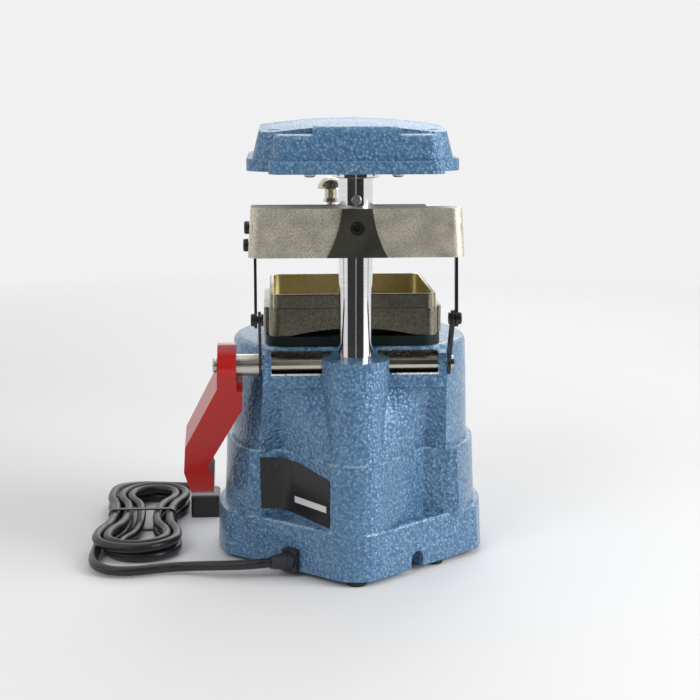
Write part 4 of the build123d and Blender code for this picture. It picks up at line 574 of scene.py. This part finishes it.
def label_sheet(name, shares, low, high, columns, rows, lift, material):
    vertices, faces = [], []
    for layer in (lift, lift + LABEL_T):
        for i in range(columns + 1):
            share = shares[0] + (shares[1] - shares[0]) * i / columns
            for j in range(rows + 1):
                z = low(share) + (high(share) - low(share)) * j / rows
                point, out = panel_point(share, z)
                place = point + out * layer
                vertices.append((place.x, place.y, z))
    count = (columns + 1) * (rows + 1)
    for i in range(columns):
        for j in range(rows):
            a = i * (rows + 1) + j
            b, c, d = a + 1, a + rows + 2, a + rows + 1
            faces.append((a + count, d + count, c + count, b + count))
            faces.append((a, b, c, d))
    rim = [i * (rows + 1) for i in range(columns + 1)]
    rim += [columns * (rows + 1) + j for j in range(1, rows + 1)]
    rim += [i * (rows + 1) + rows for i in range(columns - 1, -1, -1)]
    rim += [j for j in range(rows - 1, 0, -1)]
    for a, b in zip(rim, rim[1:] + rim[:1]):
        faces.append((a, b, b + count, a + count))
    return add_mesh(name, vertices, faces, [material], "base", False)


def foil(name, colour, rough):
    f = Finish(name, Coat_Weight=0.15, Coat_Roughness=0.10, Specular_IOR_Level=0.3)
    scratch = f.noise(1.0, 4.0, 0.7, f.vector("MULTIPLY", f.place, (900.0, 900.0, 90.0)))
    marks = f.span(scratch, 0.58, 0.74, 0.0, 0.25)
    lighter = tuple(min(1.0, c + 0.10) for c in colour)
    f.bump(f.noise(240.0, 2.0), 0.05, 0.0003)
    return f.done(f.mix(marks, colour, lighter), f.span(marks, 0.0, 0.25, rough, rough * 1.7))


label_sheet(
    "bare_label",
    (0.0, 1.0),
    lambda share: between(LABEL_FOOT, share),
    lambda share: between(LABEL_TOP, share),
    LABEL_COLUMNS,
    LABEL_ROWS,
    LABEL_LIFT,
    foil("label_foil", (0.010, 0.010, 0.011), 0.22),
)
label_sheet(
    "label_blank",
    STRIP_SPAN,
    lambda share: STRIP_Z[0],
    lambda share: STRIP_Z[1],
    LABEL_COLUMNS // 2,
    STRIP_ROWS,
    LABEL_LIFT + LABEL_T,
    foil("label_white", (0.620, 0.630, 0.620), 0.35),
)


# Ribs of the strain relief, turned about the axis of its sleeve.
SLEEVE_START = (45.58, 75.57, 11.5)
SLEEVE_DIRECTION = (math.cos(math.radians(15.0)), math.sin(math.radians(15.0)), 0.0)
SLEEVE_LENGTH = 12.6
SLEEVE_RADII = (5.6, 4.3)
RIB_COUNT = 5
RIB_H = 0.45
RIB_START = 3.0
RIB_SPARE = 3.4
RIB_STATIONS = 8      # rings of vertices for each rib
RIB_SEGMENTS = 32
RIB_LIFT = 0.05


def sleeve_ribs():
    axis = Vector(SLEEVE_DIRECTION)
    across = axis.cross(Vector((0.0, 0.0, 1.0)))
    start = Vector(SLEEVE_START)
    stations, segments = RIB_COUNT * RIB_STATIONS, RIB_SEGMENTS
    vertices, faces = [], []
    for i in range(stations + 1):
        share = i / stations
        swell = max(0.0, math.sin(share * RIB_COUNT * 2 * math.pi))
        r = SLEEVE_RADII[0] + (SLEEVE_RADII[1] - SLEEVE_RADII[0]) * share
        r += RIB_LIFT + RIB_H * swell
        for k in range(segments):
            turn = 2 * math.pi * k / segments
            point = start + axis * (RIB_START + share * (SLEEVE_LENGTH - RIB_SPARE))
            point += across * (r * math.cos(turn)) + Vector((0.0, 0.0, r * math.sin(turn)))
            vertices.append(tuple(point))
    for i in range(stations):
        for k in range(segments):
            a = i * segments + k
            b = i * segments + (k + 1) % segments
            faces.append((a, b, b + segments, a + segments))
    return add_mesh("sleeve_ribs", vertices, faces, [MATERIALS["relief"]], "base")


sleeve_ribs()


# ------------------------------------------------------------------- studio
BACKDROP = 0.88
FLOOR_TONE = 0.82
AMBIENT = 0.45
FLOOR_R = 1.7
FLOOR_SIDES = 96
FLOOR_PLACE = (0.05, 0.0, -0.0002)
FLOOR_FADE = (0.75, 1.6)
LAMP_AIM = (0.0, 0.0, 0.15)
CARD_Z = (0.02, 1.3)


def add_floor():
    """Pale disc that fades into the backdrop towards its rim."""
    data = bpy.data.meshes.new("floor")
    turns = [2 * math.pi * k / FLOOR_SIDES for k in range(FLOOR_SIDES)]
    rim = [(FLOOR_R * math.cos(turn), FLOOR_R * math.sin(turn), 0.0) for turn in turns]
    data.from_pydata(rim, [], [tuple(range(FLOOR_SIDES))])
    floor = bpy.data.objects.new("floor", data)
    floor.location = FLOOR_PLACE
    bpy.context.scene.collection.objects.link(floor)
    f = Finish("floor", Roughness=0.9)
    reach = f.vector("DISTANCE", f.place, (0.0, 0.0, 0.0))
    paper = f.span(f.noise(3.0, 2.0), 0.3, 0.7, FLOOR_TONE - 0.008, FLOOR_TONE + 0.008)
    f.done(f.mix(paper, (0.0, 0.0, 0.0), (1.0, 1.0, 1.0)))
    output = [n for n in f.tree.nodes if n.type == "OUTPUT_MATERIAL"][0]
    clear = f.add("ShaderNodeBsdfTransparent")
    join = f.add("ShaderNodeMixShader")
    f.feed(join.inputs[0], f.span(reach, *FLOOR_FADE))
    f.tree.links.new(f.shader.outputs[0], join.inputs[1])
    f.tree.links.new(clear.outputs[0], join.inputs[2])
    f.tree.links.new(join.outputs[0], output.inputs[0])
    data.materials.append(f.material)


def add_world():
    """Plain light all round, and the backdrop's tone where it is seen."""
    world = bpy.data.worlds.new("studio")
    bpy.context.scene.world = world
    world.use_nodes = True
    tree = world.node_tree
    tree.nodes.clear()
    seen = tree.nodes.new("ShaderNodeBackground")
    seen.inputs[0].default_value = (BACKDROP, BACKDROP, BACKDROP * 1.01, 1.0)
    light = tree.nodes.new("ShaderNodeBackground")
    light.inputs[0].default_value = (1.0, 1.0, 1.0, 1.0)
    light.inputs[1].default_value = AMBIENT
    path = tree.nodes.new("ShaderNodeLightPath")
    share = path.outputs["Is Camera Ray"]
    for name in ("Is Glossy Ray", "Is Transmission Ray"):
        either = tree.nodes.new("ShaderNodeMath")
        either.operation = "MAXIMUM"
        tree.links.new(share, either.inputs[0])
        tree.links.new(path.outputs[name], either.inputs[1])
        share = either.outputs[0]
    join = tree.nodes.new("ShaderNodeMixShader")
    output = tree.nodes.new("ShaderNodeOutputWorld")
    tree.links.new(share, join.inputs[0])
    tree.links.new(light.outputs[0], join.inputs[1])
    tree.links.new(seen.outputs[0], join.inputs[2])
    tree.links.new(join.outputs[0], output.inputs[0])


def add_softbox(name, place, size, level):
    """Square lamp that lights a facing surface at the given level."""
    aim, place = Vector(LAMP_AIM), Vector(place)
    data = bpy.data.lights.new(name, "AREA")
    data.shape = "SQUARE"
    data.size = size
    data.energy = level * math.pi ** 2 * (aim - place).length_squared
    lamp = bpy.data.objects.new(name, data)
    turn = (aim - place).to_track_quat("-Z", "Y").to_matrix().to_4x4()
    lamp.matrix_world = Matrix.Translation(place) @ turn
    bpy.context.scene.collection.objects.link(lamp)


def add_card(name, turn, reach, width):
    """Dark card at the side, seen only in reflections, for the bright metal."""
    angle = math.radians(turn)
    out = Vector((math.sin(angle), math.cos(angle), 0.0))
    across = Vector((out.y, -out.x, 0.0)) * (width / 2)
    foot, head = [Vector((0.0, 0.0, z)) for z in CARD_Z]
    left, right = out * reach - across, out * reach + across
    corners = [left + foot, right + foot, right + head, left + head]
    data = bpy.data.meshes.new(name)
    data.from_pydata([tuple(c) for c in corners], [], [(0, 1, 2, 3)])
    card = bpy.data.objects.new(name, data)
    bpy.context.scene.collection.objects.link(card)
    data.materials.append(moulded(name + "_cloth", (0.02, 0.02, 0.02), 0.9))
    card.visible_camera = False
    card.visible_diffuse = False
    card.visible_shadow = False
    card.visible_transmission = False


add_floor()
add_world()
add_softbox("key", (0.95, 1.30, 1.30), 0.9, 0.26)
add_softbox("fill", (-1.45, 0.65, 0.80), 0.9, 0.78)
add_softbox("top", (0.00, -0.20, 1.80), 1.2, 0.10)
add_softbox("far", (-0.30, -1.40, 1.00), 1.0, 0.26)
add_card("card_left", 27.0, 0.62, 0.60)
add_card("card_right", -24.0, 0.62, 0.53)
bpy.context.scene.view_settings.view_transform = "Standard"


bpy.context.view_layer.update()
